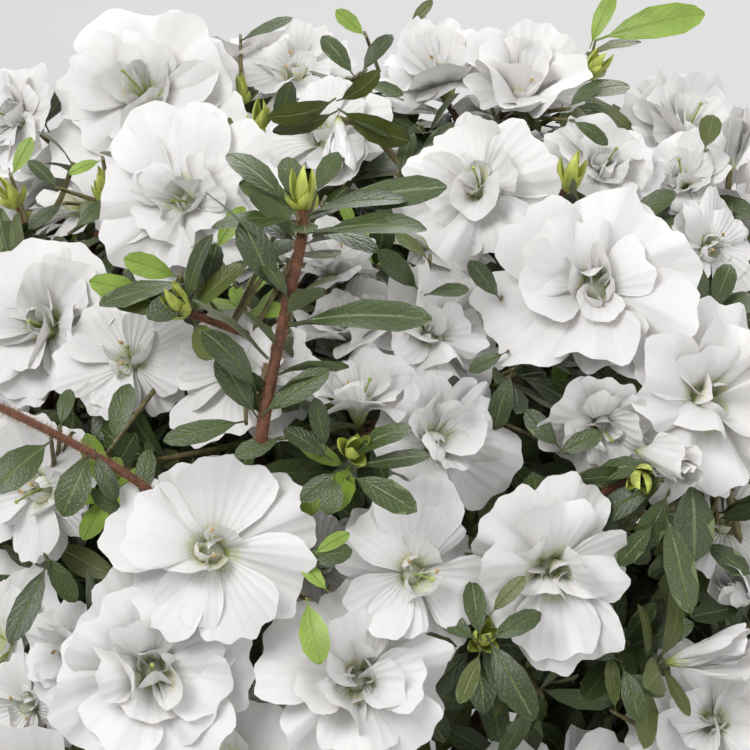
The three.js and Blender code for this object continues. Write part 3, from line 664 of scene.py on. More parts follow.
class Crown:
    """Everything that the pieces grow from: the masses, all flowers with the smaller ones of the
    best side, and the lines of all twigs."""

    def __init__(self):
        self.masses = grow_crown()
        self.tips = [tip for mass in self.masses for tip in mass.tips]
        self.twigs = [twig for mass in self.masses for twig in mass.twigs]
        self.front_buds = [tip.foot for tip in view_tips(FRONT_LEAFY_TIPS)]
        between = view_tips(BETWEEN_FLOWERS)
        self.near = view_tips(FRONT_FLOWERS) + between
        places = [tip.centre for tip in self.near]
        self.far = [tip for tip in self.tips if tip.width and not close_to(tip.centre, places, 1)]
        small = small_tips([tip for tip in self.tips + between if tip.width])
        self.far += small
        self.small = between + small
        self.send_twigs_round()
        flowers = self.near + self.far
        self.feet = np.array([tip.foot for tip in flowers])
        self.axes = np.array([tip.axis for tip in flowers])
        self.widths = np.array([tip.width for tip in flowers])
        self.spots = np.concatenate([smooth_line(twig.points, 4) for twig in self.twigs])
        self.spot_depths = np.array([depth_of(spot) for spot in self.spots])
        points = [seen_at(*place) for place in BRANCH["places"]]
        points.append(self.nearest_spot(points[-1]))
        self.branch = Twig(points, [BRANCH["radius"]] * len(points))

    def send_twigs_round(self):
        """Leads the twigs of some leafy tips along the way that they take on the best side."""
        for index, route in ROUTES.items():
            twig = next(twig for twig in self.twigs
                        if twig.tip and close_to(twig.tip.foot, [self.front_buds[index]], 1))
            twig.points[-1:-1] = [seen_at(*place) for place in route]
            twig.radii[-1:] = [ROUTE_RADIUS] * (len(route) + 1)

    def in_front(self, tip):
        """Whether a tip is one of the leafy tips of the best side."""
        return close_to(tip.foot, self.front_buds, 1)

    def in_flower(self, point):
        """Whether a point lies among the petals of a flower."""
        offset = point - self.feet
        height = np.einsum("ij,ij->i", offset, self.axes)
        aside = np.linalg.norm(offset - self.axes * height[:, None], axis=1)
        opened = smooth_step(height / self.widths, *FLOWER_ROOM["opens"])
        reach = FLOWER_ROOM["reach"] * self.widths * opened
        return bool(np.any((aside < reach) & (height < FLOWER_ROOM["height"] * self.widths)))

    def nearest_spot(self, point):
        """The nearest point of a twig that lies further in than a point."""
        allowed = self.spot_depths < depth_of(point) - SHOOT["least_rise"]
        distances = np.linalg.norm(self.spots - point, axis=1)
        return self.spots[int(np.argmin(np.where(allowed, distances, np.inf)))]


def smooth_line(points, steps):
    """A smooth line through points, with some steps to each stretch."""
    knots = np.array([2 * points[0] - points[1], *points, 2 * points[-1] - points[-2]])
    line = []
    for a, b, c, d in zip(knots[:-3], knots[1:-2], knots[2:-1], knots[3:]):
        for t in np.linspace(0, 1, steps, endpoint=False):
            bend = 2 * a - 5 * b + 4 * c - d + t * (3 * (b - c) + d - a)
            line.append(b + 0.5 * t * (c - a + t * bend))
    line.append(points[-1])
    return np.array(line)


def axes_along(direction, spin=0.0):
    """Three axes as the columns of a turn, the third of them along a direction."""
    side = unit(np.cross(direction, UP if abs(direction[2]) < 0.9 else VIEW_RIGHT))
    other = np.cross(direction, side)
    first = side * math.cos(spin) + other * math.sin(spin)
    return np.stack([first, np.cross(direction, first), direction], axis=1)


def circle_point(angle):
    return np.array([math.cos(angle), math.sin(angle), 0])


def leaning(heading, around, opening):
    """A direction that leans away from a heading, at an angle round it."""
    lean = circle_point(around) * math.sin(opening) + UP * math.cos(opening)
    return unit(axes_along(heading) @ lean)


def fill(layer, field, values, kind=np.float32):
    layer.foreach_set(field, values.astype(kind).ravel())


def mesh_at(name, places):
    """A mesh with vertices at places in mm."""
    mesh = bpy.data.meshes.new(name)
    mesh.vertices.add(len(places))
    fill(mesh.vertices, "co", places * MM)
    return mesh


class Shapes:
    """Shapes gathered for one mesh: vertices in mm, faces of four corners or of three with the
    last one repeated, the part that each face belongs to, and where each vertex lies on its
    petal, leaf or limb."""

    def __init__(self):
        self.vertices = []
        self.faces = []
        self.parts = []
        self.places = []
        self.size = 0

    def add(self, vertices, faces, parts=0, places=None):
        faces = np.asarray(faces)
        self.vertices.append(vertices)
        self.faces.append(faces + self.size)
        self.parts.append(np.broadcast_to(parts, len(faces)))
        self.places.append(np.zeros((len(vertices), 2)) if places is None else places)
        self.size += len(vertices)

    def to_object(self, name, materials=()):
        """An object that isn't in the scene yet. Each face takes the material of its part."""
        faces = np.concatenate(self.faces)
        corners = np.where(faces[:, 3] == faces[:, 2], 3, 4)
        kept = np.ones(faces.shape, bool)
        kept[:, 3] = corners == 4
        loops = faces[kept]
        mesh = mesh_at(name, np.concatenate(self.vertices))
        mesh.loops.add(len(loops))
        fill(mesh.loops, "vertex_index", loops, np.int32)
        mesh.polygons.add(len(faces))
        fill(mesh.polygons, "loop_start", np.cumsum(corners) - corners, np.int32)
        parts = np.concatenate(self.parts)
        fill(mesh.attributes.new("part", "INT", "FACE").data, "value", parts, np.int32)
        for material in materials:
            mesh.materials.append(material)
        if materials:
            fill(mesh.polygons, "material_index", parts, np.int32)
        fill(mesh.uv_layers.new(name="place").uv, "vector", np.concatenate(self.places)[loops])
        mesh.update(calc_edges=True)
        mesh.validate()
        mesh.shade_smooth()
        mesh.set_sharp_from_angle(angle=math.radians(SHARP_EDGE))
        return bpy.data.objects.new(name, mesh)


def grid_faces(rows, columns, closed=False):
    """Faces of a grid of points, seen from the side that rows crossed with columns point to."""
    across = columns if closed else columns + 1
    row, column = np.meshgrid(np.arange(rows), np.arange(columns), indexing="ij")
    start, beside = row * across + column, row * across + (column + 1) % across
    return np.stack([start, start + across, beside + across, beside], axis=-1).reshape(-1, 4)


def fan_faces(starts, ends, middle):
    """Faces of three corners from the sides of a ring to a middle."""
    middles = np.full_like(starts, middle)
    return np.stack([starts, ends, middles, middles], axis=1)


def thin_shell(sheet, thickness):
    """A closed shell from a grid of points: the sheet, and an underside that meets it all round
    the margin. Also gives, for each vertex, its row and column."""
    rows, columns = sheet.shape[0] - 1, sheet.shape[1] - 1
    normals = np.cross(np.gradient(sheet, axis=0), np.gradient(sheet, axis=1))
    normals /= np.linalg.norm(normals, axis=2, keepdims=True) + 1e-9
    under = (sheet - normals * thickness)[1:-1, 1:-1].reshape(-1, 3)
    numbers = np.arange((rows + 1) * (columns + 1)).reshape(rows + 1, columns + 1)
    below = numbers.copy()
    below[1:-1, 1:-1] = numbers.size + np.arange(len(under)).reshape(rows - 1, columns - 1)
    top = grid_faces(rows, columns)
    bottom = below.ravel()[top][:, ::-1]
    row, column = np.meshgrid(np.arange(rows + 1), np.arange(columns + 1), indexing="ij")
    places = np.stack([row, column], axis=-1)
    places = np.concatenate([places.reshape(-1, 2), places[1:-1, 1:-1].reshape(-1, 2)])
    vertices = np.concatenate([sheet.reshape(-1, 3), under])
    return vertices, np.concatenate([top, bottom]), places


def petal_margin(side, draw):
    """How far a petal reaches at places across it, as a share of its length: round corners, a
    notch near its middle and an uneven margin."""
    margin = 1 - (1 - PETAL["corner"]) * np.abs(side) ** PETAL["squareness"]
    notch = PETAL["notch"] * draw()
    aside = side - PETAL["notch_stray"] * (draw() - 0.5)
    margin = margin - notch * np.exp(-(aside / PETAL["notch_width"]) ** 2)
    for count in PETAL["margin_waves"]:
        wave = np.sin(count * math.pi * side + FULL_TURN * draw())
        margin = margin * (1 + PETAL["unevenness"] * wave)
    return margin


def petal_path(whorl, width, length, draw):
    """The line that a petal runs along: distances from its foot and, at each, how far it leans
    from the flower's axis, how far out it is and how high."""
    stations = np.linspace(0, PETAL["path"] * length, PETAL["stations"])
    opened = smooth_step(stations, PETAL["tube"] * width, PETAL["throat"] * width)
    curled = smooth_step(stations, PETAL["curled_from"] * length, PETAL["curled_to"] * length)
    opening = whorl.opening + PETAL["opening_range"] * (draw() - 0.5)
    curl = whorl.curl * (PETAL["least_curl"] + PETAL["curl_range"] * draw())
    tube = PETAL["tube_opening"]
    lean = np.radians(tube + (opening - tube) * opened + curl * curled)
    step = stations[1]
    out = PETAL["base"] * width + np.concatenate([[0], np.cumsum(np.sin(lean[:-1]))]) * step
    rise = np.concatenate([[0], np.cumsum(np.cos(lean[:-1]))]) * step
    return stations, lean, out, rise


def petal_relief(whorl, width, share, along, across, arc, draw):
    """How far a petal rises from its path: its cup, ruffles, crumples, crease and roll."""
    lift = whorl.cup * across ** 2 / (0.5 * width) * share
    for wave, depth, power in PETAL["ruffles"]:
        phase = FULL_TURN * draw()
        swell = PETAL["least_ruffle"] + draw()
        stretch = wave * (PETAL["least_stretch"] + PETAL["stretch_range"] * draw())
        ruffle = np.sin(FULL_TURN * arc / stretch + phase)
        lift = lift + whorl.ruffle * swell * depth * share ** power * ruffle
    for wave in PETAL["crumples"]:
        heading = FULL_TURN * draw()
        phase = FULL_TURN * draw()
        place = along * math.cos(heading) + across * math.sin(heading)
        crumple = np.sin(FULL_TURN * place / (wave * width) + phase)
        lift = lift + PETAL["crumpling"] * whorl.crumple * share * crumple
    crease = np.exp(-(across / (PETAL["crease_width"] * width)) ** 2)
    lift = lift - PETAL["crease"] * crease * np.sin(share * math.pi)
    roll = math.radians(PETAL["twist"] + PETAL["roll"] * (draw() - 0.5))
    rolled = smooth_step(along, PETAL["rolled_from"] * width, PETAL["rolled_to"] * width)
    return lift + math.tan(roll) * across * rolled


def petal_sheet(whorl, width, rows, columns, draw):
    """A petal's upper face as a grid of points from its claw to its margin, and each row's share
    of its length. The flower's axis is z, the petal lies over x, and the flower's foot is at 0."""
    length = whorl.length * width * varied(draw, PETAL["length_range"])
    fan = math.radians(whorl.fan) * varied(draw, PETAL["fan_range"])
    share = np.linspace(PETAL["claw"], 1, rows + 1)[:, None]
    side = np.linspace(-1, 1, columns + 1)[None, :]
    margin = petal_margin(side, draw)
    along = share * length * margin * np.cos(fan * side)
    across = share * length * margin * np.sin(fan * side)

    stations, leans, out, rise = petal_path(whorl, width, length, draw)
    lift = petal_relief(whorl, width, share, along, across, fan * side * length, draw)
    lean = np.interp(along, stations, leans)
    radius = np.interp(along, stations, out)
    height = np.interp(along, stations, rise) + lift * np.sin(lean)
    wrap = np.maximum(radius, PETAL["least_radius"] * width)
    wrap = whorl.wrap * np.tanh(across / (whorl.wrap * wrap))
    flat = whorl.flatten * smooth_step(along, PETAL["tube"] * width, PETAL["flat"] * width)
    radius = radius - lift * np.cos(lean)
    x = mix(radius * np.cos(wrap), radius, flat)
    y = mix(radius * np.sin(wrap), across, flat)
    return np.stack([x, y, height], axis=-1), share[:, 0]


def add_ovary(shapes, tip, turn):
    """The ovary in a flower's throat."""
    ring = np.arange(OVARY["sides"])
    around = ring * FULL_TURN / OVARY["sides"]
    points = np.stack([OVARY["radius"] * np.cos(around), OVARY["radius"] * np.sin(around),
                       np.full(OVARY["sides"], OVARY["height"])], axis=1)
    ends = [[0, 0, OVARY["foot"]], [0, 0, OVARY["top"]]]
    vertices = np.concatenate([points, ends]) * tip.width
    beside = (ring + 1) % OVARY["sides"]
    foot, top = OVARY["sides"], OVARY["sides"] + 1
    faces = np.concatenate([fan_faces(ring, beside, top), fan_faces(beside, ring, foot)])
    shapes.add(vertices @ turn.T + tip.foot, faces, 1)


def add_flower(shapes, tip, near, draw):
    """A flower's petals, whorl by whorl, and its ovary, on its foot. The parts of a petal are its
    margin, its cream base and its green throat."""
    turn = axes_along(tip.axis, tip.spin)
    thickness = PETAL["thickness"] * tip.width / PETAL["width_of_thickness"]
    for index, whorl in enumerate(HABITS[tip.habit]):
        rows, columns = whorl.near if near else whorl.far
        for petal in range(whorl.petals):
            sheet, share = petal_sheet(whorl, tip.width, rows, columns, draw)
            stray = PETAL["stray"] * (draw() - 0.5)
            around = FULL_TURN * (petal + 0.5 * index + stray) / whorl.petals
            cos, sin = math.cos(around), math.sin(around)
            swing = np.array([[cos, sin, 0], [-sin, cos, 0], [0, 0, 1]])
            vertices, faces, places = thin_shell(sheet, thickness)
            reached = share[places[faces[:, 0], 0]] * whorl.length
            parts = (reached < PETAL["cream"]) + 1 * (reached < PETAL["green"])
            shapes.add(vertices @ swing @ turn.T + tip.foot, faces, parts, places / [rows, columns])
    add_ovary(shapes, tip, turn)


def leaf_shape(draw, places_along, columns):
    """A leaf along x with its upper face up: a narrow stalk, then a blade that is widest beyond
    its middle. Its faces belong to the upper side or to the underside."""
    form = LEAF_FORM
    arch = form["arch"] + form["arch_range"] * draw()
    fold = form["fold"] + form["fold_range"] * draw()
    sway = form["sway"] * (draw() - 0.5)
    twist = form["twist"] * (draw() - 0.5)
    share = np.array(places_along)[:, None]
    side = np.linspace(-1, 1, columns + 1)[None, :]
    widest = LEAF["width"] / 2
    blade = smooth_step(share, LEAF["stalk"], form["blade"])
    across = side * (np.interp(share, *LEAF_OUTLINE) * widest)
    lift = 4 * arch * share * (1 - share) + fold * np.abs(across) * blade + twist * across * share
    lift = lift - blade * form["cup"] * (np.abs(across) / widest) ** 2 * widest
    ripple = form["ripple"] * blade * np.sin(form["ripples"] * share + form["phase"] * draw())
    sheet = np.stack([share + 0 * across, across + sway * share ** 2, lift + ripple * np.abs(side)],
                     axis=-1) * LEAF["length"]
    rows = len(places_along) - 1
    under = sheet[:, columns // 2] - UP * LEAF["thickness"]
    under[share[:, 0] <= LEAF["stalk"], 2] -= form["keel"]
    numbers = np.arange((rows + 1) * (columns + 1)).reshape(rows + 1, columns + 1)
    below = numbers.size + np.arange(rows + 1)
    top = grid_faces(rows, columns)
    left = np.stack([numbers[1:, 0], below[1:], below[:-1], numbers[:-1, 0]], axis=1)
    right = np.stack([below[1:], numbers[1:, -1], numbers[:-1, -1], below[:-1]], axis=1)
    root_end = fan_faces(numbers[0, :-1], numbers[0, 1:], below[0])
    tip_end = fan_faces(numbers[-1, 1:], numbers[-1, :-1], below[-1])
    faces = np.concatenate([top, left, right, root_end, tip_end])
    parts = np.arange(len(faces)) >= len(top)
    places = np.stack([share + 0 * side, side * 0.5 + 0.5 + 0 * share], axis=-1).reshape(-1, 2)
    middle = np.stack([share[:, 0], np.full(rows + 1, 0.5)], axis=1)
    vertices = np.concatenate([sheet.reshape(-1, 3), under])
    return vertices, faces, parts, np.concatenate([places, middle])


class Points:
    """Places for repeated shapes: where each is, how it is turned, its size along its axes, and
    which kind."""

    def __init__(self):
        self.places = []
        self.turns = []
        self.sizes = []
        self.kinds = []

    def add(self, place, turn, size, kind):
        self.places.append(place)
        self.turns.append(Matrix(turn).to_quaternion())
        self.sizes.append(size)
        self.kinds.append(kind)

    def to_object(self, name):
        mesh = mesh_at(name, np.array(self.places))
        for label, kind, field, values, number in (
                ("turn", "QUATERNION", "value", self.turns, np.float32),
                ("size", "FLOAT_VECTOR", "vector", self.sizes, np.float32),
                ("kind", "INT", "value", self.kinds, np.int32)):
            attribute = mesh.attributes.new(label, kind, "POINT")
            fill(attribute.data, field, np.array(values), number)
        return bpy.data.objects.new(name, mesh)


class Lines:
    """Lines with a radius at each point, which become round limbs."""

    def __init__(self):
        self.points = []
        self.radii = []
        self.edges = []
        self.size = 0

    def add(self, points, radii):
        count = len(points)
        self.points.append(np.asarray(points, float))
        self.radii.append(np.broadcast_to(radii, count))
        starts = self.size + np.arange(count - 1)
        self.edges.append(np.stack([starts, starts + 1], axis=1))
        self.size += count

    def add_twig(self, twig):
        line = smooth_line(twig.points, TWIG["steps"])
        knots = np.arange(len(twig.points)) * TWIG["steps"]
        self.add(line, np.interp(np.arange(len(line)), knots, twig.radii))

    def to_object(self, name):
        mesh = mesh_at(name, np.concatenate(self.points))
        edges = np.concatenate(self.edges)
        mesh.edges.add(len(edges))
        fill(mesh.edges, "vertices", edges, np.int32)
        thickness = mesh.attributes.new("thickness", "FLOAT", "POINT")
        fill(thickness.data, "value", np.concatenate(self.radii) * MM)
        mesh.update()
        return bpy.data.objects.new(name, mesh)


def add_node(tree, kind, inputs=None, **settings):
    """A node of a tree with its settings. Its inputs are set to values, or linked where they are
    given an output."""
    node = tree.nodes.new(kind)
    for name, value in settings.items():
        setattr(node, name, value)
    for key, value in (inputs or {}).items():
        if isinstance(value, bpy.types.NodeSocket):
            tree.links.new(value, node.inputs[key])
        else:
            node.inputs[key].default_value = value
    return node


def named_attribute(tree, name, kind):
    node = add_node(tree, "GeometryNodeInputNamedAttribute", {"Name": name}, data_type=kind)
    return next(out for out in node.outputs if out.enabled and out.name == "Attribute")


def math_node(tree, operation, *values, clamp=False):
    node = add_node(tree, "ShaderNodeMath", dict(enumerate(values)), operation=operation,
                    use_clamp=clamp)
    return node.outputs[0]


def geometry_tree(name, inputs):
    """A Geometry Nodes tree with the shape as its first input, and the other inputs as given:
    the name of each, its type and its value."""
    tree = bpy.data.node_groups.new(name, "GeometryNodeTree")
    for way in ("OUTPUT", "INPUT"):
        tree.interface.new_socket("Shape", in_out=way, socket_type="NodeSocketGeometry")
    for label, (kind, value) in inputs.items():
        socket = tree.interface.new_socket(label, in_out="INPUT", socket_type=f"NodeSocket{kind}")
        if value is not None:
            socket.default_value = value
    return tree, tree.nodes.new("NodeGroupInput").outputs


def end_tree(tree, shape, materials):
    """The end of a tree: instances made real, and a material for each part, of which the first
    is for the rest."""
    shape = add_node(tree, "GeometryNodeRealizeInstances", {"Geometry": shape}).outputs[0]
    for part, material in enumerate(materials):
        inputs = {"Geometry": shape, "Material": material}
        if part:
            chosen = add_node(tree, "FunctionNodeCompare", {
                2: named_attribute(tree, "part", "INT"), 3: part},
                data_type="INT", operation="EQUAL")
            inputs["Selection"] = chosen.outputs[0]
        shape = add_node(tree, "GeometryNodeSetMaterial", inputs).outputs[0]
    add_node(tree, "NodeGroupOutput", {0: shape})
    return tree


def scatter_tree(name, materials):
    """Puts the shapes of a collection at points, each turned, sized and chosen by the points' own
    attributes."""
    tree, given = geometry_tree(name, {"Shapes": ("Collection", None), "Size": ("Float", 1.0)})
    shapes = add_node(tree, "GeometryNodeCollectionInfo", {
        "Collection": given["Shapes"], "Separate Children": True, "Reset Children": True})
    size = add_node(tree, "ShaderNodeVectorMath", {
        0: named_attribute(tree, "size", "FLOAT_VECTOR"), "Scale": given["Size"]},
        operation="SCALE")
    placed = add_node(tree, "GeometryNodeInstanceOnPoints", {
        "Points": given["Shape"], "Instance": shapes.outputs[0], "Pick Instance": True,
        "Instance Index": named_attribute(tree, "kind", "INT"),
        "Rotation": named_attribute(tree, "turn", "QUATERNION"), "Scale": size.outputs[0]})
    return end_tree(tree, placed.outputs[0], materials)


LIMB_INPUTS = {"Sides": ("Int", 8), "Girth": ("Float", 1.0)}


def round_limbs(tree, given):
    """The part of a tree that makes lines round, as thick as their points ask."""
    lines = add_node(tree, "GeometryNodeMeshToCurve", {"Mesh": given["Shape"]})
    girth = math_node(tree, "MULTIPLY", named_attribute(tree, "thickness", "FLOAT"), given["Girth"])
    lines = add_node(tree, "GeometryNodeSetCurveRadius", {"Curve": lines.outputs[0],
                                                          "Radius": girth})
    ring = add_node(tree, "GeometryNodeCurvePrimitiveCircle", {"Resolution": given["Sides"],
                                                               "Radius": 1.0})
    limbs = add_node(tree, "GeometryNodeCurveToMesh", {
        "Curve": lines.outputs[0], "Profile Curve": ring.outputs[0], "Fill Caps": True})
    if "Scale" in limbs.inputs:
        tree.links.new(girth, limbs.inputs["Scale"])
    return limbs.outputs[0]


def limb_tree(name, material):
    tree, given = geometry_tree(name, LIMB_INPUTS)
    smooth = add_node(tree, "GeometryNodeSetShadeSmooth", {"Geometry": round_limbs(tree, given)})
    return end_tree(tree, smooth.outputs[0], [material])


def bristle_tree(name, material):
    """Strews bristles over round limbs, which it leaves out."""
    tree, given = geometry_tree(name, {
        **LIMB_INPUTS, "Density": ("Float", 1e6), "Length": ("Float", 0.002),
        "Thickness": ("Float", 0.0001), "Lean": ("Float", 0.5), "Seed": ("Int", 1)})
    roots = add_node(tree, "GeometryNodeDistributePointsOnFaces", {
        "Mesh": round_limbs(tree, given), "Density": given["Density"], "Seed": given["Seed"]})
    bristle = add_node(tree, "GeometryNodeMeshCone", {
        "Vertices": 3, "Side Segments": 1, "Radius Top": 0.0, "Radius Bottom": given["Thickness"],
        "Depth": given["Length"]}, fill_type="TRIANGLE_FAN")
    lean = add_node(tree, "FunctionNodeRandomValue", {
        0: (-1.0, -1.0, -1.0), 1: (1.0, 1.0, 1.0), "Seed": given["Seed"]},
        data_type="FLOAT_VECTOR")
    lean = add_node(tree, "ShaderNodeVectorMath", {0: lean.outputs[0], "Scale": given["Lean"]},
                    operation="SCALE")
    turn = add_node(tree, "FunctionNodeRotateRotation", {
        0: roots.outputs["Rotation"], 1: lean.outputs[0]}, rotation_space="LOCAL")
    size = add_node(tree, "FunctionNodeRandomValue", {
        2: BRISTLES["smallest"], 3: BRISTLES["largest"], "Seed": given["Seed"]},
        data_type="FLOAT")
    placed = add_node(tree, "GeometryNodeInstanceOnPoints", {
        "Points": roots.outputs["Points"], "Instance": bristle.outputs["Mesh"],
        "Rotation": turn.outputs[0], "Scale": size.outputs[1]})
    return end_tree(tree, placed.outputs[0], [material])


def grown(source, tree, values, name):
    """The plain mesh that a tree makes of a source object, as a new object. The source is
    removed."""
    bpy.context.scene.collection.objects.link(source)
    modifier = source.modifiers.new(tree.name, "NODES")
    modifier.node_group = tree
    sockets = {item.name: item.identifier for item in tree.interface.items_tree
               if item.in_out == "INPUT"}
    for label, value in values.items():
        modifier[sockets[label]] = value
    graph = bpy.context.evaluated_depsgraph_get()
    mesh = bpy.data.meshes.new_from_object(
        source.evaluated_get(graph), preserve_all_data_layers=True, depsgraph=graph)
    mesh.name = name
    bpy.data.objects.remove(source)
    for spare in ("turn", "size", "kind", "thickness"):
        if spare in mesh.attributes:
            mesh.attributes.remove(mesh.attributes[spare])
    return bpy.data.objects.new(name, mesh)


def show(piece, nodes=FOLIAGE_NODES):
    """Adds a finished piece to the plant, in place of the nodes that it stands for."""
    bpy.context.scene.collection.objects.link(piece)
    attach(piece, "root")
    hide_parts(*nodes)


def show_limbs(lines, name, material, sides, girth=1.0):
    """Round limbs along lines, as a piece of the plant."""
    tree = limb_tree(name.title(), material)
    values = {"Sides": sides, "Girth": girth}
    show(grown(lines.to_object(f"{name}_lines"), tree, values, name))


class Foliage:
    """The finer shoots of the crown and all of its leaves, by tone."""

    def __init__(self, crown):
        self.crown = crown
        self.leaves = {(reach, tone): Points() for reach in LEAF_ROWS for tone, _ in TONES}
        self.shoots = Lines()
        self.draw = random_from(FOLIAGE_SEED)
        for row in SHOOTS:
            self.grow_shoots(row)
        for tip in crown.small:
            self.add_stalk(tip)
        for tip in crown.tips + crown.small:
            self.grow_tip(tip)
        self.held = list(crown.spots)
        for row in FRONT_LEAVES:
            self.add_front_leaf(*row)
        for twig in crown.twigs:
            self.line_twig(twig)

    def pick_tone(self, young_share):
        spread = self.draw()
        if spread < young_share:
            return "young"
        total = 0
        spread = self.draw() * sum(share for tone, share in TONES if tone != "young")
        for tone, share in TONES:
            total += share
            if spread < total:
                return tone
        return TONES[0][0]

    def add_shoot(self, points, root_radius, end_radius):
        line = smooth_line(points, SHOOT["steps"])
        self.shoots.add(line, np.linspace(root_radius, end_radius, len(line)))
        return line

    def add_leaf(self, root, heading, upward, length, tone):
        """A leaf from its root along its heading, unless its blade would be in a flower."""
        end = root + heading * length
        if not LEAF_HEIGHTS[0] < end[2] < LEAF_HEIGHTS[1]:
            return
        if any(self.crown.in_flower(mix(root, end, share)) for share in (0.25, 0.5, 0.75, 1)):
            return
        breadth = LEAF["least_breadth"] + LEAF["breadth_range"] * self.draw()
        self.place_leaf(root, heading, upward, length, breadth, tone)

    def place_leaf(self, root, heading, upward, length, breadth, tone):
        """Puts a leaf down, its upper face turned as far as it goes to where up is."""
        side = unit(np.cross(upward, heading))
        turn = np.stack([heading, side, np.cross(heading, side)], axis=1)
        scale = length / LEAF["length"]
        outer = depth_of(root) > NEAR_LEAF_DEPTH
        near = outer and on_best_side(unit(root - FOCUS), math.inf)
        points = self.leaves["near" if near else "far", tone]
        kind = int(self.draw() * LEAF["kinds"])
        points.add(root, turn, (scale, scale * breadth, scale), kind)

    def add_front_leaf(self, right, above, proud, tip_right, tip_above, tip_proud, faces_viewer,
                       breadth, tone):
        """A leaf at its place of the view, on a stalk of its own unless one ends there."""
        root = seen_at(right, above, proud)
        distance = np.linalg.norm(root - EYE) + proud - tip_proud
        end = EYE + ray_to(tip_right, tip_above) * distance
        upward = unit(mix(VIEW_UP, TO_VIEWER, faces_viewer))
        self.place_leaf(root, unit(end - root), upward, np.linalg.norm(end - root), breadth, tone)
        if close_to(root, self.held, SHOOT["hold"]):
            return
        self.held.append(root)
        away = unit(root - EYE)
        start = self.crown.nearest_spot(root)
        bend = mix(start, root, 0.5) + away * SHOOT["bend"]
        if np.linalg.norm(start - root) > SHOOT["behind"]:
            bend = root + away * SHOOT["behind"]
            start = self.crown.nearest_spot(bend)
        self.add_shoot([start, bend, root], SHOOT["radius"], SHOOT["tip"] * SHOOT["radius"])

    def add_stalk(self, tip):
        """A shoot to a flower that no twig ends in."""
        start = self.crown.nearest_spot(tip.foot)
        bow = tip.axis * STALK["bow"] * np.linalg.norm(tip.foot - start)
        elbow = mix(start, tip.foot, STALK["elbow"]) - bow
        self.add_shoot([start, elbow, tip.foot], SHOOT["root_radius"],
                       STALK["tip"] * SHOOT["radius"])

    def add_whorl(self, root, heading, count, whorl, length, tone):
        """Leaves round the last stretch of a shoot."""
        start = FULL_TURN * self.draw()
        for index in range(count):
            lean = math.radians(whorl["opening"] + whorl["range"] * self.draw())
            direction = leaning(heading, start + index * GOLDEN_ANGLE, lean)
            own_length = length + LEAF["range"] * (self.draw() - 0.5)
            own_root = root - heading * (whorl["first"] + whorl["step"] * index)
            self.add_leaf(own_root, direction, heading, own_length, tone)

    def grow_shoots(self, row):
        """Shoots that end at places on a spiral, each with leaves at its end and beside it."""
        draw = random_from(row["seed"])
        for index in range(row["count"]):
            out = spiral_direction(row, index, SHOOT["sway"] * draw())
            end = scattered(row, out, draw)
            if self.crown.in_flower(end) or end[2] < LEAF_HEIGHTS[0]:
                continue
            start = self.crown.nearest_spot(end)
            span = np.linalg.norm(end - start)
            if span < SHOOT["least_length"]:
                continue
            rise = UP * SHOOT["rise"] * span * draw()
            elbow = mix(start, end, 0.5) - out * SHOOT["sag"] * span + rise
            line = self.add_shoot([start, elbow, end], SHOOT["root_radius"], SHOOT["radius"])
            heading = unit(unit(end - elbow) + SHOOT["lift"] * skin_normal(end))
            tone = self.pick_tone(row["young"])
            length = LEAF["length"] * (YOUNG_LEAF_SIZE if tone == "young" else 1)
            self.add_whorl(end, heading, row["leaves"] + int(3 * draw()), WHORLS["shoot"], length,
                           tone)
            for share in SIDE_WHORLS["places"]:
                self.add_whorl(line[int(share * len(line))], heading, SIDE_WHORLS["leaves"],
                               WHORLS["shoot_side"], LEAF["length"] * SIDE_WHORLS["size"],
                               self.pick_tone(0))

    def grow_tip(self, tip):
        """Leaves under a flower, or round the bud of a leafy tip."""
        tone = self.pick_tone(0 if tip.width else TIP_LEAVES["young"])
        self.add_whorl(tip.foot, tip.axis, TIP_LEAVES["flower" if tip.width else "bud"],
                       WHORLS["tip"], LEAF["length"] + TIP_LEAVES["longer"], tone)

    def line_twig(self, twig):
        """Leaves along the outer stretches of a twig."""
        line = smooth_line(twig.points, TWIG["steps"])
        since = 0
        for start, end in zip(line[:-1], line[1:]):
            since += np.linalg.norm(end - start)
            if since > TWIG_LEAVES["gap"] and depth_of(end) > TWIG_LEAVES["least_depth"]:
                since = 0
                self.add_whorl(end, unit(end - start), 1, WHORLS["twig"], LEAF["length"],
                               self.pick_tone(0))


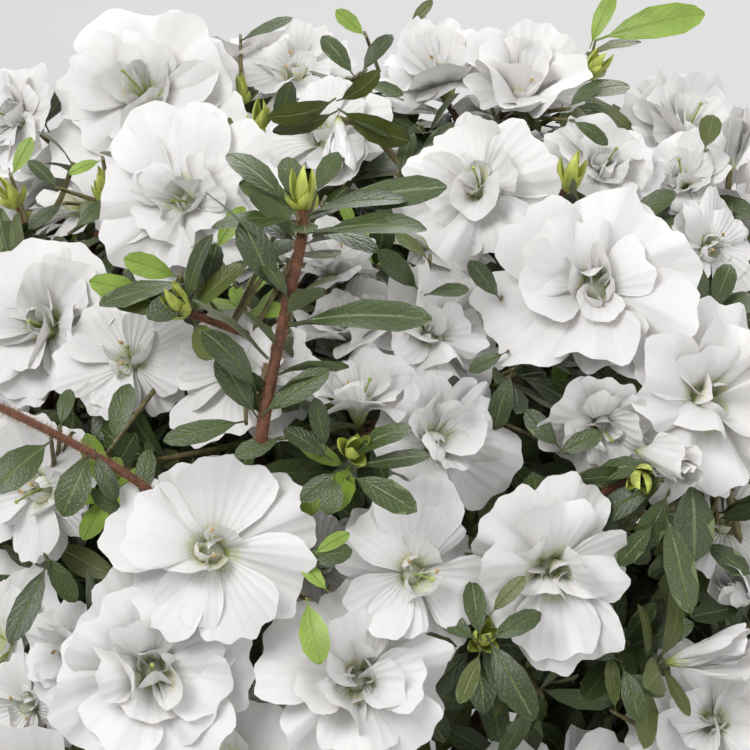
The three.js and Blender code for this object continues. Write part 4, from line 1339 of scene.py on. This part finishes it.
def bark_limb(shapes, path, radii, sides, depth, flare=None):
    """A limb round a smooth line, with ridges of bark along it. One with a flare stands on the
    ground, on a flat foot with ribs."""
    lengths = np.concatenate([[0], np.cumsum(np.linalg.norm(np.diff(path, axis=0), axis=1))])
    rings = max(int(lengths[-1] / BARK["step"]), BARK["least_rings"])
    stations = np.linspace(0, lengths[-1], rings + 1)
    centre = np.stack([np.interp(stations, lengths, path[:, axis]) for axis in range(3)], axis=1)
    heading = np.gradient(centre, axis=0)
    heading /= np.linalg.norm(heading, axis=1, keepdims=True)
    if flare:
        heading = mix(heading, UP, (1 - smooth_step(stations, 0, BARK["foot"]))[:, None])
    side = np.cross(heading, LIMB_SEAM)
    side /= np.linalg.norm(side, axis=1, keepdims=True)
    other = np.cross(heading, side)
    ring = np.arange(sides)
    angle, along = np.meshgrid(ring * FULL_TURN / sides, stations)
    relief = np.zeros_like(angle)
    for count, stretch, share in RIDGES:
        drift = 1.2 * np.sin(along / stretch) + 0.7 * np.sin(along / (0.37 * stretch) + count)
        relief += share * np.abs(np.sin(0.5 * (count * angle + drift) + count))
    reach = np.interp(stations, lengths, radii)[:, None]
    if flare:
        fade = 1 - smooth_step(along, 0, flare["height"])
        reach = reach * (1 + flare["depth"] * np.cos(flare["count"] * angle) * fade)
    reach = reach - depth * (relief - 0.2)
    skin = centre[:, None, :] + reach[..., None] * (np.cos(angle)[..., None] * side[:, None, :]
                                                    + np.sin(angle)[..., None] * other[:, None, :])
    if flare:
        skin[0, :, 2] = 0
        centre[0, 2] = 0
    foot, head, last = skin.shape[0] * sides, skin.shape[0] * sides + 1, rings * sides
    beside = (ring + 1) % sides
    walls = grid_faces(rings, sides, closed=True)[:, ::-1]
    caps = [fan_faces(beside, ring, foot), fan_faces(last + ring, last + beside, head)]
    shapes.add(np.concatenate([skin.reshape(-1, 3), centre[:1], centre[-1:]]),
               np.concatenate([walls, *caps]))


def add_heart(tip, filaments, anthers, styles, draw):
    """Stamens and a style that rise from a flower's throat."""
    turn = axes_along(tip.axis, tip.spin)
    count = HEART["stamens"][tip.habit]
    for index in range(count + (draw() < HEART["style_share"])):
        is_style = index == count
        lean = HEART["lean"] * (0.3 + draw()) * (HEART["style_lean"] if is_style else 1)
        longer = HEART["style_height"] if is_style else 0
        reach = tip.width * (HEART["height"] + HEART["height_range"] * draw() + longer)
        out = circle_point(index * GOLDEN_ANGLE)
        knots = [out * 0.6 + UP * 0.1 * tip.width, out * lean * 3 + UP * 0.55 * reach,
                 out * (lean * 9 + 1) + UP * reach]
        line = smooth_line([turn @ knot + tip.foot for knot in knots], HEART["steps"])
        end = unit(line[-1] - line[-2])
        if is_style:
            styles.add(line, np.linspace(0.5, 0.4, len(line)))
            styles.add([line[-1], line[-1] + end * 0.9, line[-1] + end * 1.4], [0.5, 0.95, 0.5])
        else:
            filaments.add(line, np.linspace(0.4, 0.28, len(line)))
            across = unit(np.cross(end, turn[:, 0]) + end) * HEART["anther"]
            anthers.add([line[-1] - across, line[-1], line[-1] + across], [0.4, 0.72, 0.4])


def add_calyx(tip, sepals):
    """The green sepals and stalk that hold a flower's tube."""
    turn = axes_along(tip.axis, tip.spin)
    size = tip.width / CALYX["width"]
    for index in range(CALYX["sepals"]):
        out = turn @ circle_point(FULL_TURN * index / CALYX["sepals"])
        knots = [tip.foot] + [tip.foot + tip.axis * height * size + out * radius * size
                              for height, radius in zip(CALYX["heights"], CALYX["radii"])]
        line = smooth_line(knots, 3)
        sepals.add(line, np.interp(np.arange(len(line)), [0, 2, 4, 6], CALYX["girths"]) * size)


def add_bud(tip, scales, draw):
    """The pointed scales of the bud at a leafy tip, each hollow like a boat towards the bud's
    middle."""
    share = np.linspace(0, 1, BUD["rows"] + 1)[:, None]
    side = np.linspace(-1, 1, BUD["columns"] + 1)[None, :]
    half = np.interp(share, *BUD_OUTLINE) * BUD["width"] / 2
    for index in range(BUD["scales"]):
        lean = math.radians(BUD["lean"] + BUD["lean_step"] * index)
        length = BUD["length"] * (1.05 - BUD["shorter"] * index) * (0.85 + 0.3 * draw())
        along = leaning(tip.axis, index * GOLDEN_ANGLE + tip.spin, lean)
        turn = axes_along(along)
        inward = unit(tip.axis - along * tip.axis.dot(along) + 1e-6 * turn[:, 0])
        turn = np.stack([inward, np.cross(along, inward), along], axis=1)
        bulge = 0.12 * length * np.sin(math.pi * share) - 0.1 * length * share ** 2
        hollow = 0.8 * half * side ** 2 - bulge - 0.5
        height = length * share - BUD["sunk"] + 0 * side
        sheet = np.stack([hollow, half * side, height], axis=-1)
        vertices, faces, _ = thin_shell(sheet[:, ::-1], BUD["thickness"])
        scales.add(vertices @ turn.T + tip.foot, faces)


def shader_group(name, inputs, outputs):
    tree = bpy.data.node_groups.new(name, "ShaderNodeTree")
    for label, value in inputs.items():
        socket = tree.interface.new_socket(label, in_out="INPUT", socket_type="NodeSocketFloat")
        socket.default_value = value
    for label in outputs:
        tree.interface.new_socket(label, in_out="OUTPUT", socket_type="NodeSocketFloat")
    return tree, tree.nodes.new("NodeGroupInput").outputs


@functools.cache
def veins_group():
    """Veins of a blade or petal, from its place along and across: a mask of the ribs and one of
    the veins."""
    tree, given = shader_group("Veins", {
        "Along Count": 8.0, "Across Count": -5.0, "Rib Width": 0.05, "Sharpness": 4.0},
        ["Rib", "Veins"])
    calc = functools.partial(math_node, tree)
    place = add_node(tree, "ShaderNodeUVMap", uv_map="place").outputs[0]
    along, across, _ = add_node(tree, "ShaderNodeSeparateXYZ", {0: place}).outputs
    aside = calc("ABSOLUTE", calc("SUBTRACT", across, 0.5))
    rib = calc("SUBTRACT", 1.0, calc("DIVIDE", aside, given["Rib Width"]), clamp=True)
    turns = calc("ADD", calc("MULTIPLY", along, given["Along Count"]),
                 calc("MULTIPLY", aside, given["Across Count"]))
    wave = calc("MULTIPLY_ADD", calc("COSINE", calc("MULTIPLY", turns, FULL_TURN)), 0.5, 0.5)
    veins = calc("POWER", wave, given["Sharpness"])
    add_node(tree, "NodeGroupOutput", {"Rib": rib, "Veins": veins})
    return tree


@functools.cache
def mottle_group():
    """Uneven tone and fine relief, from two sizes of noise in the piece's own space."""
    tree, given = shader_group("Mottle", {"Patches": 60.0, "Grain": 900.0, "Stretch": 1.0},
                               ["Patch", "Grain"])
    place = add_node(tree, "ShaderNodeTexCoord").outputs["Object"]
    stretch = add_node(tree, "ShaderNodeCombineXYZ", {0: 1.0, 1: 1.0, 2: given["Stretch"]})
    place = add_node(tree, "ShaderNodeVectorMath", {0: place, 1: stretch.outputs[0]},
                     operation="MULTIPLY").outputs[0]
    patch, grain = [add_node(tree, "ShaderNodeTexNoise", {
        "Vector": place, "Scale": given[label], "Detail": detail}).outputs[0]
        for label, detail in (("Patches", 2.0), ("Grain", 3.0))]
    spread = add_node(tree, "ShaderNodeMapRange", {
        "Value": patch, "From Min": 0.32, "From Max": 0.68})
    add_node(tree, "NodeGroupOutput", {"Patch": spread.outputs[0], "Grain": grain})
    return tree


def start_material(name):
    material = bpy.data.materials.new(name)
    material.use_nodes = True
    material.node_tree.nodes.clear()
    return material, material.node_tree


def effect(tree, group, **values):
    node = tree.nodes.new("ShaderNodeGroup")
    node.node_tree = group
    for label, value in values.items():
        node.inputs[label.replace("_", " ")].default_value = value
    return node.outputs


def blend(tree, factor, first, second):
    inputs = {0: factor, 6: first, 7: second}
    return add_node(tree, "ShaderNodeMix", inputs, data_type="RGBA").outputs[2]


def relief(tree, height, distance):
    inputs = {"Height": height, "Distance": distance}
    return add_node(tree, "ShaderNodeBump", inputs).outputs[0]


def tinted(colour, factor, more=0.0):
    return tuple(min(factor * channel + more, 1) for channel in colour[:3]) + (1.0,)


def end_material(tree, surface, glow=None, glow_share=0.0):
    """Ends a material in a surface with these inputs, and in light that shines through where it
    glows."""
    shader = add_node(tree, "ShaderNodeBsdfPrincipled", surface).outputs[0]
    if glow:
        light = add_node(tree, "ShaderNodeBsdfTranslucent", glow).outputs[0]
        shader = add_node(tree, "ShaderNodeMixShader", {
            0: glow_share, 1: shader, 2: light}).outputs[0]
    add_node(tree, "ShaderNodeOutputMaterial", {0: shader})


def petal_finish(name, part):
    """Soft white with a satin sheen, fine veins along it and uneven tone."""
    material, tree = start_material(name)
    veins = effect(tree, veins_group(), Along_Count=0.0, Across_Count=9.0, Rib_Width=0.03,
                   Sharpness=1.5)
    mottle = effect(tree, mottle_group(), Patches=45.0, Grain=700.0)
    height = math_node(tree, "MULTIPLY_ADD", mottle["Grain"], 0.4, veins["Veins"])
    normal = relief(tree, height, 0.0002)
    colour = colour_of(part)
    tone = blend(tree, mottle["Patch"], colour, tinted(colour, 0.965))
    end_material(tree, {
        "Base Color": tone, "Roughness": 0.52, "Specular IOR Level": 0.3, "Sheen Weight": 0.12,
        "Sheen Roughness": 0.4, "Normal": normal}, {"Color": tone, "Normal": normal},
        PETAL_GLOW[part])
    return material


def leaf_finish(name, colour, rib_colour, roughness, sheen):
    """Satin green with a pale rib, faint veins, darker patches, and pale flecks of fine hairs with
    the sheen they catch painted in.
    """
    material, tree = start_material(name)
    calc = functools.partial(math_node, tree)
    veins = effect(tree, veins_group(), Along_Count=8.0, Across_Count=-5.0, Rib_Width=0.06,
                   Sharpness=3.0)
    mottle = effect(tree, mottle_group(), Patches=110.0, Grain=1500.0)
    patches = calc("MULTIPLY", mottle["Patch"], 0.7)
    tone = blend(tree, patches, colour, tinted(colour, 0.62))
    # Pale flecks for the fine hairs, with the speckled sheen that light gives them painted into the
    # colour
    hair_flecks_and_painted_sheen = calc("MULTIPLY", calc("POWER", mottle["Grain"], 5.0), 1.6, clamp=True)
    for mask in (calc("MULTIPLY", veins["Veins"], 0.04), calc("MULTIPLY", veins["Rib"], 0.42),
                 hair_flecks_and_painted_sheen):
        tone = blend(tree, mask, tone, rib_colour)
    height = calc("MULTIPLY_ADD", veins["Veins"], -0.13, calc("MULTIPLY", mottle["Grain"], 0.7))
    height = calc("SUBTRACT", height, calc("MULTIPLY", veins["Rib"], 0.8))
    end_material(tree, {
        "Base Color": tone, "Roughness": roughness, "Specular IOR Level": 0.65,
        "Sheen Weight": sheen, "Sheen Roughness": 0.35, "Sheen Tint": (0.9, 0.88, 0.76, 1.0),
        "Normal": relief(tree, height, 0.00035)}, {"Color": tone}, LEAF_GLOW)
    return material


def stem_finish(part):
    """Bark and all that grows in one colour, with dark patches and pale flecks along it."""
    name, roughness, patches, depth = STEM_FINISHES[part]
    material, tree = start_material(name)
    mottle = effect(tree, mottle_group(), Patches=patches, Grain=9 * patches, Stretch=0.35)
    colour = colour_of(part)
    tone = blend(tree, mottle["Patch"], tinted(colour, 0.42), colour)
    flecks = math_node(tree, "POWER", mottle["Grain"], 4.0)
    tone = blend(tree, flecks, tone, tinted(colour, 1.5, 0.03))
    end_material(tree, {
        "Base Color": tone, "Roughness": roughness, "Specular IOR Level": 0.3,
        "Normal": relief(tree, mottle["Grain"], depth)})
    return material


def ground_finish(name, colour):
    """Matt and pale, with faint patches and grain."""
    material, tree = start_material(name)
    mottle = effect(tree, mottle_group(), Patches=0.6, Grain=240.0)
    tone = blend(tree, mottle["Patch"], colour, tinted(colour, 0.94))
    end_material(tree, {"Base Color": tone, "Roughness": 0.8,
                        "Normal": relief(tree, mottle["Grain"], 0.0001)})
    return material


@functools.cache
def the_crown():
    return Crown()


@functools.cache
def the_foliage():
    return Foliage(the_crown())


@functools.cache
def petal_finishes():
    return [petal_finish(name, part) for name, part in (
        ("Petal", "petal"), ("Petal base", "cream"), ("Throat", "throat"))]


def colour_of(name):
    return tuple(getattr(bpy.context.scene.azalea_colours, name))


def colour(label, description, default):
    return FloatVectorProperty(name=label, description=description, default=(*default, 1.0),
                               size=4, min=0, max=1, subtype="COLOR")


def factor(label, description, greatest):
    return FloatProperty(name=label, description=f"{description}, as a factor", default=1.0,
                         min=0.5, max=greatest, subtype="FACTOR")


def side_count(label, description, default):
    return IntProperty(name=label, description=description, default=default, min=3, max=16)


class AzaleaSizes(bpy.types.PropertyGroup):
    leaf_size: factor("Leaf size", "Size of all leaves", 1.5)
    twig_girth: factor("Twig girth", "Thickness of all twigs", 2)
    twig_sides: side_count("Twig sides", "Faces round a twig", 7)
    shoot_sides: side_count("Shoot sides", "Faces round a shoot", 5)
    floor_size: FloatProperty(
        name="Floor size", description="Side of the square floor", default=FLOOR_SIZE,
        unit="LENGTH")


class AzaleaColours(bpy.types.PropertyGroup):
    petal: colour("Petal", "Petals, from the margin to near the throat", (0.935, 0.925, 0.91))
    cream: colour("Petal base", "Petals just outside the throat", (0.93, 0.94, 0.78))
    throat: colour("Throat", "Inside of the flower's tube", (0.9, 0.95, 0.5))
    leaf_dark: colour("Dark leaf", "Old leaves", (0.027, 0.049, 0.011))
    leaf_middle: colour("Middle leaf", "Most leaves", (0.044, 0.077, 0.013))
    leaf_olive: colour("Olive leaf", "Leaves near the light", (0.1, 0.13, 0.02))
    leaf_young: colour("Young leaf", "This year's leaves", (0.3, 0.46, 0.05))
    leaf_under: colour("Leaf underside", "Underside of old leaves", (0.18, 0.23, 0.09))
    leaf_rib: colour("Leaf rib", "Midribs of old leaves", (0.27, 0.33, 0.09))
    young_under: colour("Young underside", "Underside of young leaves", (0.34, 0.46, 0.13))
    bark: colour("Bark", "Trunk and boughs", (0.2, 0.13, 0.09))
    twig: colour("Twig", "Brown twigs", (0.145, 0.055, 0.026))
    shoot: colour("Shoot", "Green-brown shoots", (0.2, 0.17, 0.07))
    sepal: colour("Sepal", "Sepals and flower stalks", (0.36, 0.5, 0.12))
    bud: colour("Bud", "Scales of the buds", (0.6, 0.68, 0.14))
    bristle: colour("Bristle", "Bristles of the brown twigs", (0.42, 0.22, 0.12))
    filament: colour("Filament", "Stamens' threads", (0.9, 0.92, 0.8))
    anther: colour("Anther", "Stamens' tips", (0.68, 0.5, 0.22))
    floor: colour("Floor", "The floor under the shrub", (0.46, 0.46, 0.45))


class AZALEA_OT_limbs(bpy.types.Operator):
    """Build the trunk and its boughs, with ridged bark"""
    bl_idname = "azalea.limbs"
    bl_label = "Trunk and Boughs"

    def execute(self, context):
        shapes = Shapes()
        heights, radii = np.array(TRUNK_PROFILE).T
        path = np.linspace(0, heights[-1], 60)
        bark_limb(shapes, np.array([*TRUNK_LEAN, 1.0]) * path[:, None],
                  np.interp(path, heights, radii), BARK["trunk_sides"], BARK["trunk_depth"],
                  TRUNK_RIBS)
        for mass in the_crown().masses:
            shares = np.linspace(0, 1, BOUGH["stations"])
            radii = np.linspace(BOUGH["thick"] * mass.ring["radius"], STEM["radius"], len(shares))
            bark_limb(shapes, np.array([mass.bough_point(share) for share in shares]), radii,
                      BARK["bough_sides"], BARK["bough_depth"])
        bark = stem_finish("bark")
        show(shapes.to_object("trunk_and_boughs", [bark]), LIMB_NODES)
        return {"FINISHED"}


class AZALEA_OT_twigs(bpy.types.Operator):
    """Grow the twigs and the finer shoots"""
    bl_idname = "azalea.twigs"
    bl_label = "Twigs"

    def execute(self, context):
        sizes = context.scene.azalea_sizes
        crown = the_crown()
        lines = Lines()
        for twig in [*crown.twigs, crown.branch]:
            lines.add_twig(twig)
        for name, source, part, sides in (
                ("twigs", lines, "twig", sizes.twig_sides),
                ("shoots", the_foliage().shoots, "shoot", sizes.shoot_sides)):
            show_limbs(source, name, stem_finish(part), sides, sizes.twig_girth)
        return {"FINISHED"}


class AZALEA_OT_bristles(bpy.types.Operator):
    """Cover the twigs of the best side with short bristles"""
    bl_idname = "azalea.bristles"
    bl_label = "Bristles"

    def execute(self, context):
        crown = the_crown()
        sizes = context.scene.azalea_sizes
        lines = Lines()
        for twig in crown.twigs:
            if twig.tip and crown.in_front(twig.tip):
                lines.add_twig(twig)
        lines.add_twig(crown.branch)
        brown = stem_finish("bristle")
        values = {"Sides": sizes.twig_sides, "Girth": sizes.twig_girth,
                  "Density": BRISTLES["density"] / MM ** 2, "Length": BRISTLES["length"] * MM,
                  "Thickness": BRISTLES["girth"] * MM, "Lean": BRISTLES["lean"],
                  "Seed": BRISTLES["seed"]}
        piece = grown(lines.to_object("bristle_lines"), bristle_tree("Bristles", brown), values,
                      "bristles")
        show(piece)
        return {"FINISHED"}


class AZALEA_OT_leaves(bpy.types.Operator):
    """Place every leaf, one piece for each tone"""
    bl_idname = "azalea.leaves"
    bl_label = "Leaves"

    def finishes_of(self, tone):
        """A tone's finishes above and below."""
        young = tone == "young"
        name = f"{tone.title()} leaf"
        under = colour_of("young_under" if young else "leaf_under")
        rib = colour_of("young_under" if young else "leaf_rib")
        return [leaf_finish(name, colour_of(f"leaf_{tone}"), rib, 0.33, 0.0 if young else 0.14),
                leaf_finish(f"{name} underside", under, under, 0.7, 0.1)]

    def execute(self, context):
        kinds = {}
        for reach, places_along in LEAF_ROWS.items():
            draw = random_from(LEAF["seed"])
            kinds[reach] = bpy.data.collections.new(f"{reach}_leaf_kinds")
            for kind in range(LEAF["kinds"]):
                shapes = Shapes()
                shapes.add(*leaf_shape(draw, places_along, LEAF_COLUMNS[reach]))
                kinds[reach].objects.link(shapes.to_object(f"{reach}_leaf_kind_{kind}"))
        for tone, _ in TONES:
            tree = scatter_tree(f"{tone.title()} leaves", self.finishes_of(tone))
            for reach, shapes in kinds.items():
                points = the_foliage().leaves[reach, tone].to_object("leaf_points")
                values = {"Shapes": shapes, "Size": context.scene.azalea_sizes.leaf_size}
                piece = grown(points, tree, values, f"{reach}_leaves_{tone}")
                show(piece)
        for shapes in kinds.values():
            bpy.data.collections.remove(shapes)
        return {"FINISHED"}


class AZALEA_OT_near_flowers(bpy.types.Operator):
    """Build the flowers of the best side, each with petals of its own"""
    bl_idname = "azalea.near_flowers"
    bl_label = "Flowers of the Best Side"

    def execute(self, context):
        draw = random_from(NEAR_FLOWERS["seed"])
        groups = [Shapes() for _ in range(NEAR_FLOWERS["pieces"])]
        for index, tip in enumerate(the_crown().near):
            add_flower(groups[index % len(groups)], tip, True, draw)
        for index, shapes in enumerate(groups):
            piece = shapes.to_object(f"near_flowers_{index + 1}", petal_finishes())
            show(piece)
        return {"FINISHED"}


class AZALEA_OT_far_flowers(bpy.types.Operator):
    """Place the flowers of the other sides, from a few kinds"""
    bl_idname = "azalea.far_flowers"
    bl_label = "Flowers of the Other Sides"

    def fitting_kinds(self, tip):
        """The kinds that a tip may take: any but the rolled ones where it is full."""
        return [kind for kind, habit in enumerate(FAR_FLOWERS["habits"])
                if habit == tip.habit or tip.habit == "full" and habit != "rolled"]

    def execute(self, context):
        draw = random_from(FAR_FLOWERS["seed"])
        width = FAR_FLOWERS["width"]
        kinds = bpy.data.collections.new("flower_kinds")
        for kind, habit in enumerate(FAR_FLOWERS["habits"]):
            shapes = Shapes()
            add_flower(shapes, Tip(UP * FLOWER_MOUTH * width, UP, width, 0, habit), False, draw)
            kinds.objects.link(shapes.to_object(f"flower_kind_{kind:02}"))
        tree = scatter_tree("Far flowers", petal_finishes())
        flowers = the_crown().far
        count = math.ceil(len(flowers) / FAR_FLOWERS["per_piece"])
        for index in range(count):
            points = Points()
            for tip in flowers[index::count]:
                fitting = self.fitting_kinds(tip)
                kind = fitting[int(draw() * len(fitting))]
                size = tip.width / width
                points.add(tip.foot, axes_along(tip.axis, tip.spin), (size, size, size), kind)
            piece = grown(points.to_object("flower_points"), tree, {"Shapes": kinds, "Size": 1.0},
                          f"far_flowers_{index + 1}")
            show(piece)
        bpy.data.collections.remove(kinds)
        return {"FINISHED"}


class AZALEA_OT_hearts(bpy.types.Operator):
    """Add stamens, styles and sepals to the flowers"""
    bl_idname = "azalea.hearts"
    bl_label = "Flower Hearts"

    def execute(self, context):
        crown = the_crown()
        draw = random_from(HEART["seed"])
        filaments, anthers, styles, sepals = Lines(), Lines(), Lines(), Lines()
        for tip in crown.near:
            if tip.habit in HEART["stamens"]:
                add_heart(tip, filaments, anthers, styles, draw)
        for tip in crown.near + crown.far:
            add_calyx(tip, sepals)
        pale, tan, green = [stem_finish(part) for part in ("filament", "anther", "sepal")]
        for name, lines, finish, sides in (
                ("stamens", filaments, pale, 5), ("anthers", anthers, tan, 6),
                ("styles", styles, green, 5), ("sepals", sepals, green, 4)):
            show_limbs(lines, name, finish, sides)
        return {"FINISHED"}


class AZALEA_OT_buds(bpy.types.Operator):
    """Add the pointed buds at the leafy tips"""
    bl_idname = "azalea.buds"
    bl_label = "Buds"

    def execute(self, context):
        crown = the_crown()
        draw = random_from(BUD["seed"])
        scales = Shapes()
        for tip in crown.tips:
            end = tip.foot + tip.axis * BUD["length"] * BUD["shown"]
            if not tip.width and (crown.in_front(tip) or not crown.in_flower(end)):
                add_bud(tip, scales, draw)
        green = stem_finish("bud")
        show(scales.to_object("buds", [green]))
        return {"FINISHED"}


def place_facing(data, place):
    """A lamp or a camera at a place, turned to the middle of the view."""
    piece = bpy.data.objects.new(data.name, data)
    piece.location = place
    piece.rotation_euler = (Vector(AIM * MM) - place).to_track_quat("-Z", "Y").to_euler()
    bpy.context.scene.collection.objects.link(piece)
    return piece


class AZALEA_OT_stage(bpy.types.Operator):
    """Lay the floor and set the lights and the camera"""
    bl_idname = "azalea.stage"
    bl_label = "Stage"

    def lay_floor(self, scene):
        half = scene.azalea_sizes.floor_size / 2
        corners = [(-half, -half, 0), (half, -half, 0), (half, half, 0), (-half, half, 0)]
        mesh = bpy.data.meshes.new("floor")
        mesh.from_pydata(corners, [], [(0, 1, 2, 3)])
        mesh.materials.append(ground_finish("Pale floor", colour_of("floor")))
        floor = bpy.data.objects.new("floor", mesh)
        scene.collection.objects.link(floor)

    def set_lights(self, scene):
        for name, place, size, power in LIGHTS:
            light = bpy.data.lights.new(name, "AREA")
            light.shape = "DISK"
            light.size = size
            light.energy = power
            place_facing(light, Vector(place))
        world = bpy.data.worlds.new("soft_studio")
        world.use_nodes = True
        sky = world.node_tree.nodes["Background"]
        sky.inputs["Color"].default_value = SKY["colour"]
        sky.inputs["Strength"].default_value = SKY["strength"]
        scene.world = world

    def execute(self, context):
        scene = context.scene
        self.lay_floor(scene)
        self.set_lights(scene)
        scene.view_settings.view_transform = "Standard"
        lens = bpy.data.cameras.new("camera")
        lens.lens = CAMERA["lens"]
        lens.clip_end = CAMERA["reach"]
        scene.camera = place_facing(lens, Vector(EYE * MM))
        return {"FINISHED"}


OPERATORS = (
    AZALEA_OT_limbs, AZALEA_OT_twigs, AZALEA_OT_bristles, AZALEA_OT_leaves,
    AZALEA_OT_near_flowers, AZALEA_OT_far_flowers, AZALEA_OT_hearts, AZALEA_OT_buds,
    AZALEA_OT_stage,
)


class AZALEA_PT_shrub(bpy.types.Panel):
    """Sizes, colours and pieces of the shrub"""
    bl_idname = "AZALEA_PT_shrub"
    bl_label = "White Azalea Shrub"
    bl_space_type = "VIEW_3D"
    bl_region_type = "UI"
    bl_category = "Azalea"

    def draw(self, context):
        for group in (context.scene.azalea_sizes, context.scene.azalea_colours):
            box = self.layout.box()
            for name in group.__annotations__:
                box.prop(group, name)
        for operator in OPERATORS:
            self.layout.operator(operator.bl_idname)


CLASSES = (AzaleaSizes, AzaleaColours, *OPERATORS, AZALEA_PT_shrub)


def register():
    for cls in CLASSES:
        bpy.utils.register_class(cls)
    bpy.types.Scene.azalea_sizes = PointerProperty(type=AzaleaSizes)
    bpy.types.Scene.azalea_colours = PointerProperty(type=AzaleaColours)


def unregister():
    del bpy.types.Scene.azalea_colours
    del bpy.types.Scene.azalea_sizes
    for cls in reversed(CLASSES):
        bpy.utils.unregister_class(cls)


def main():
    register()
    bpy.ops.azalea.limbs()
    bpy.ops.azalea.twigs()
    bpy.ops.azalea.bristles()
    bpy.ops.azalea.leaves()
    bpy.ops.azalea.near_flowers()
    bpy.ops.azalea.far_flowers()
    bpy.ops.azalea.hearts()
    bpy.ops.azalea.buds()
    bpy.ops.azalea.stage()


if __name__ == "__main__":
    main()
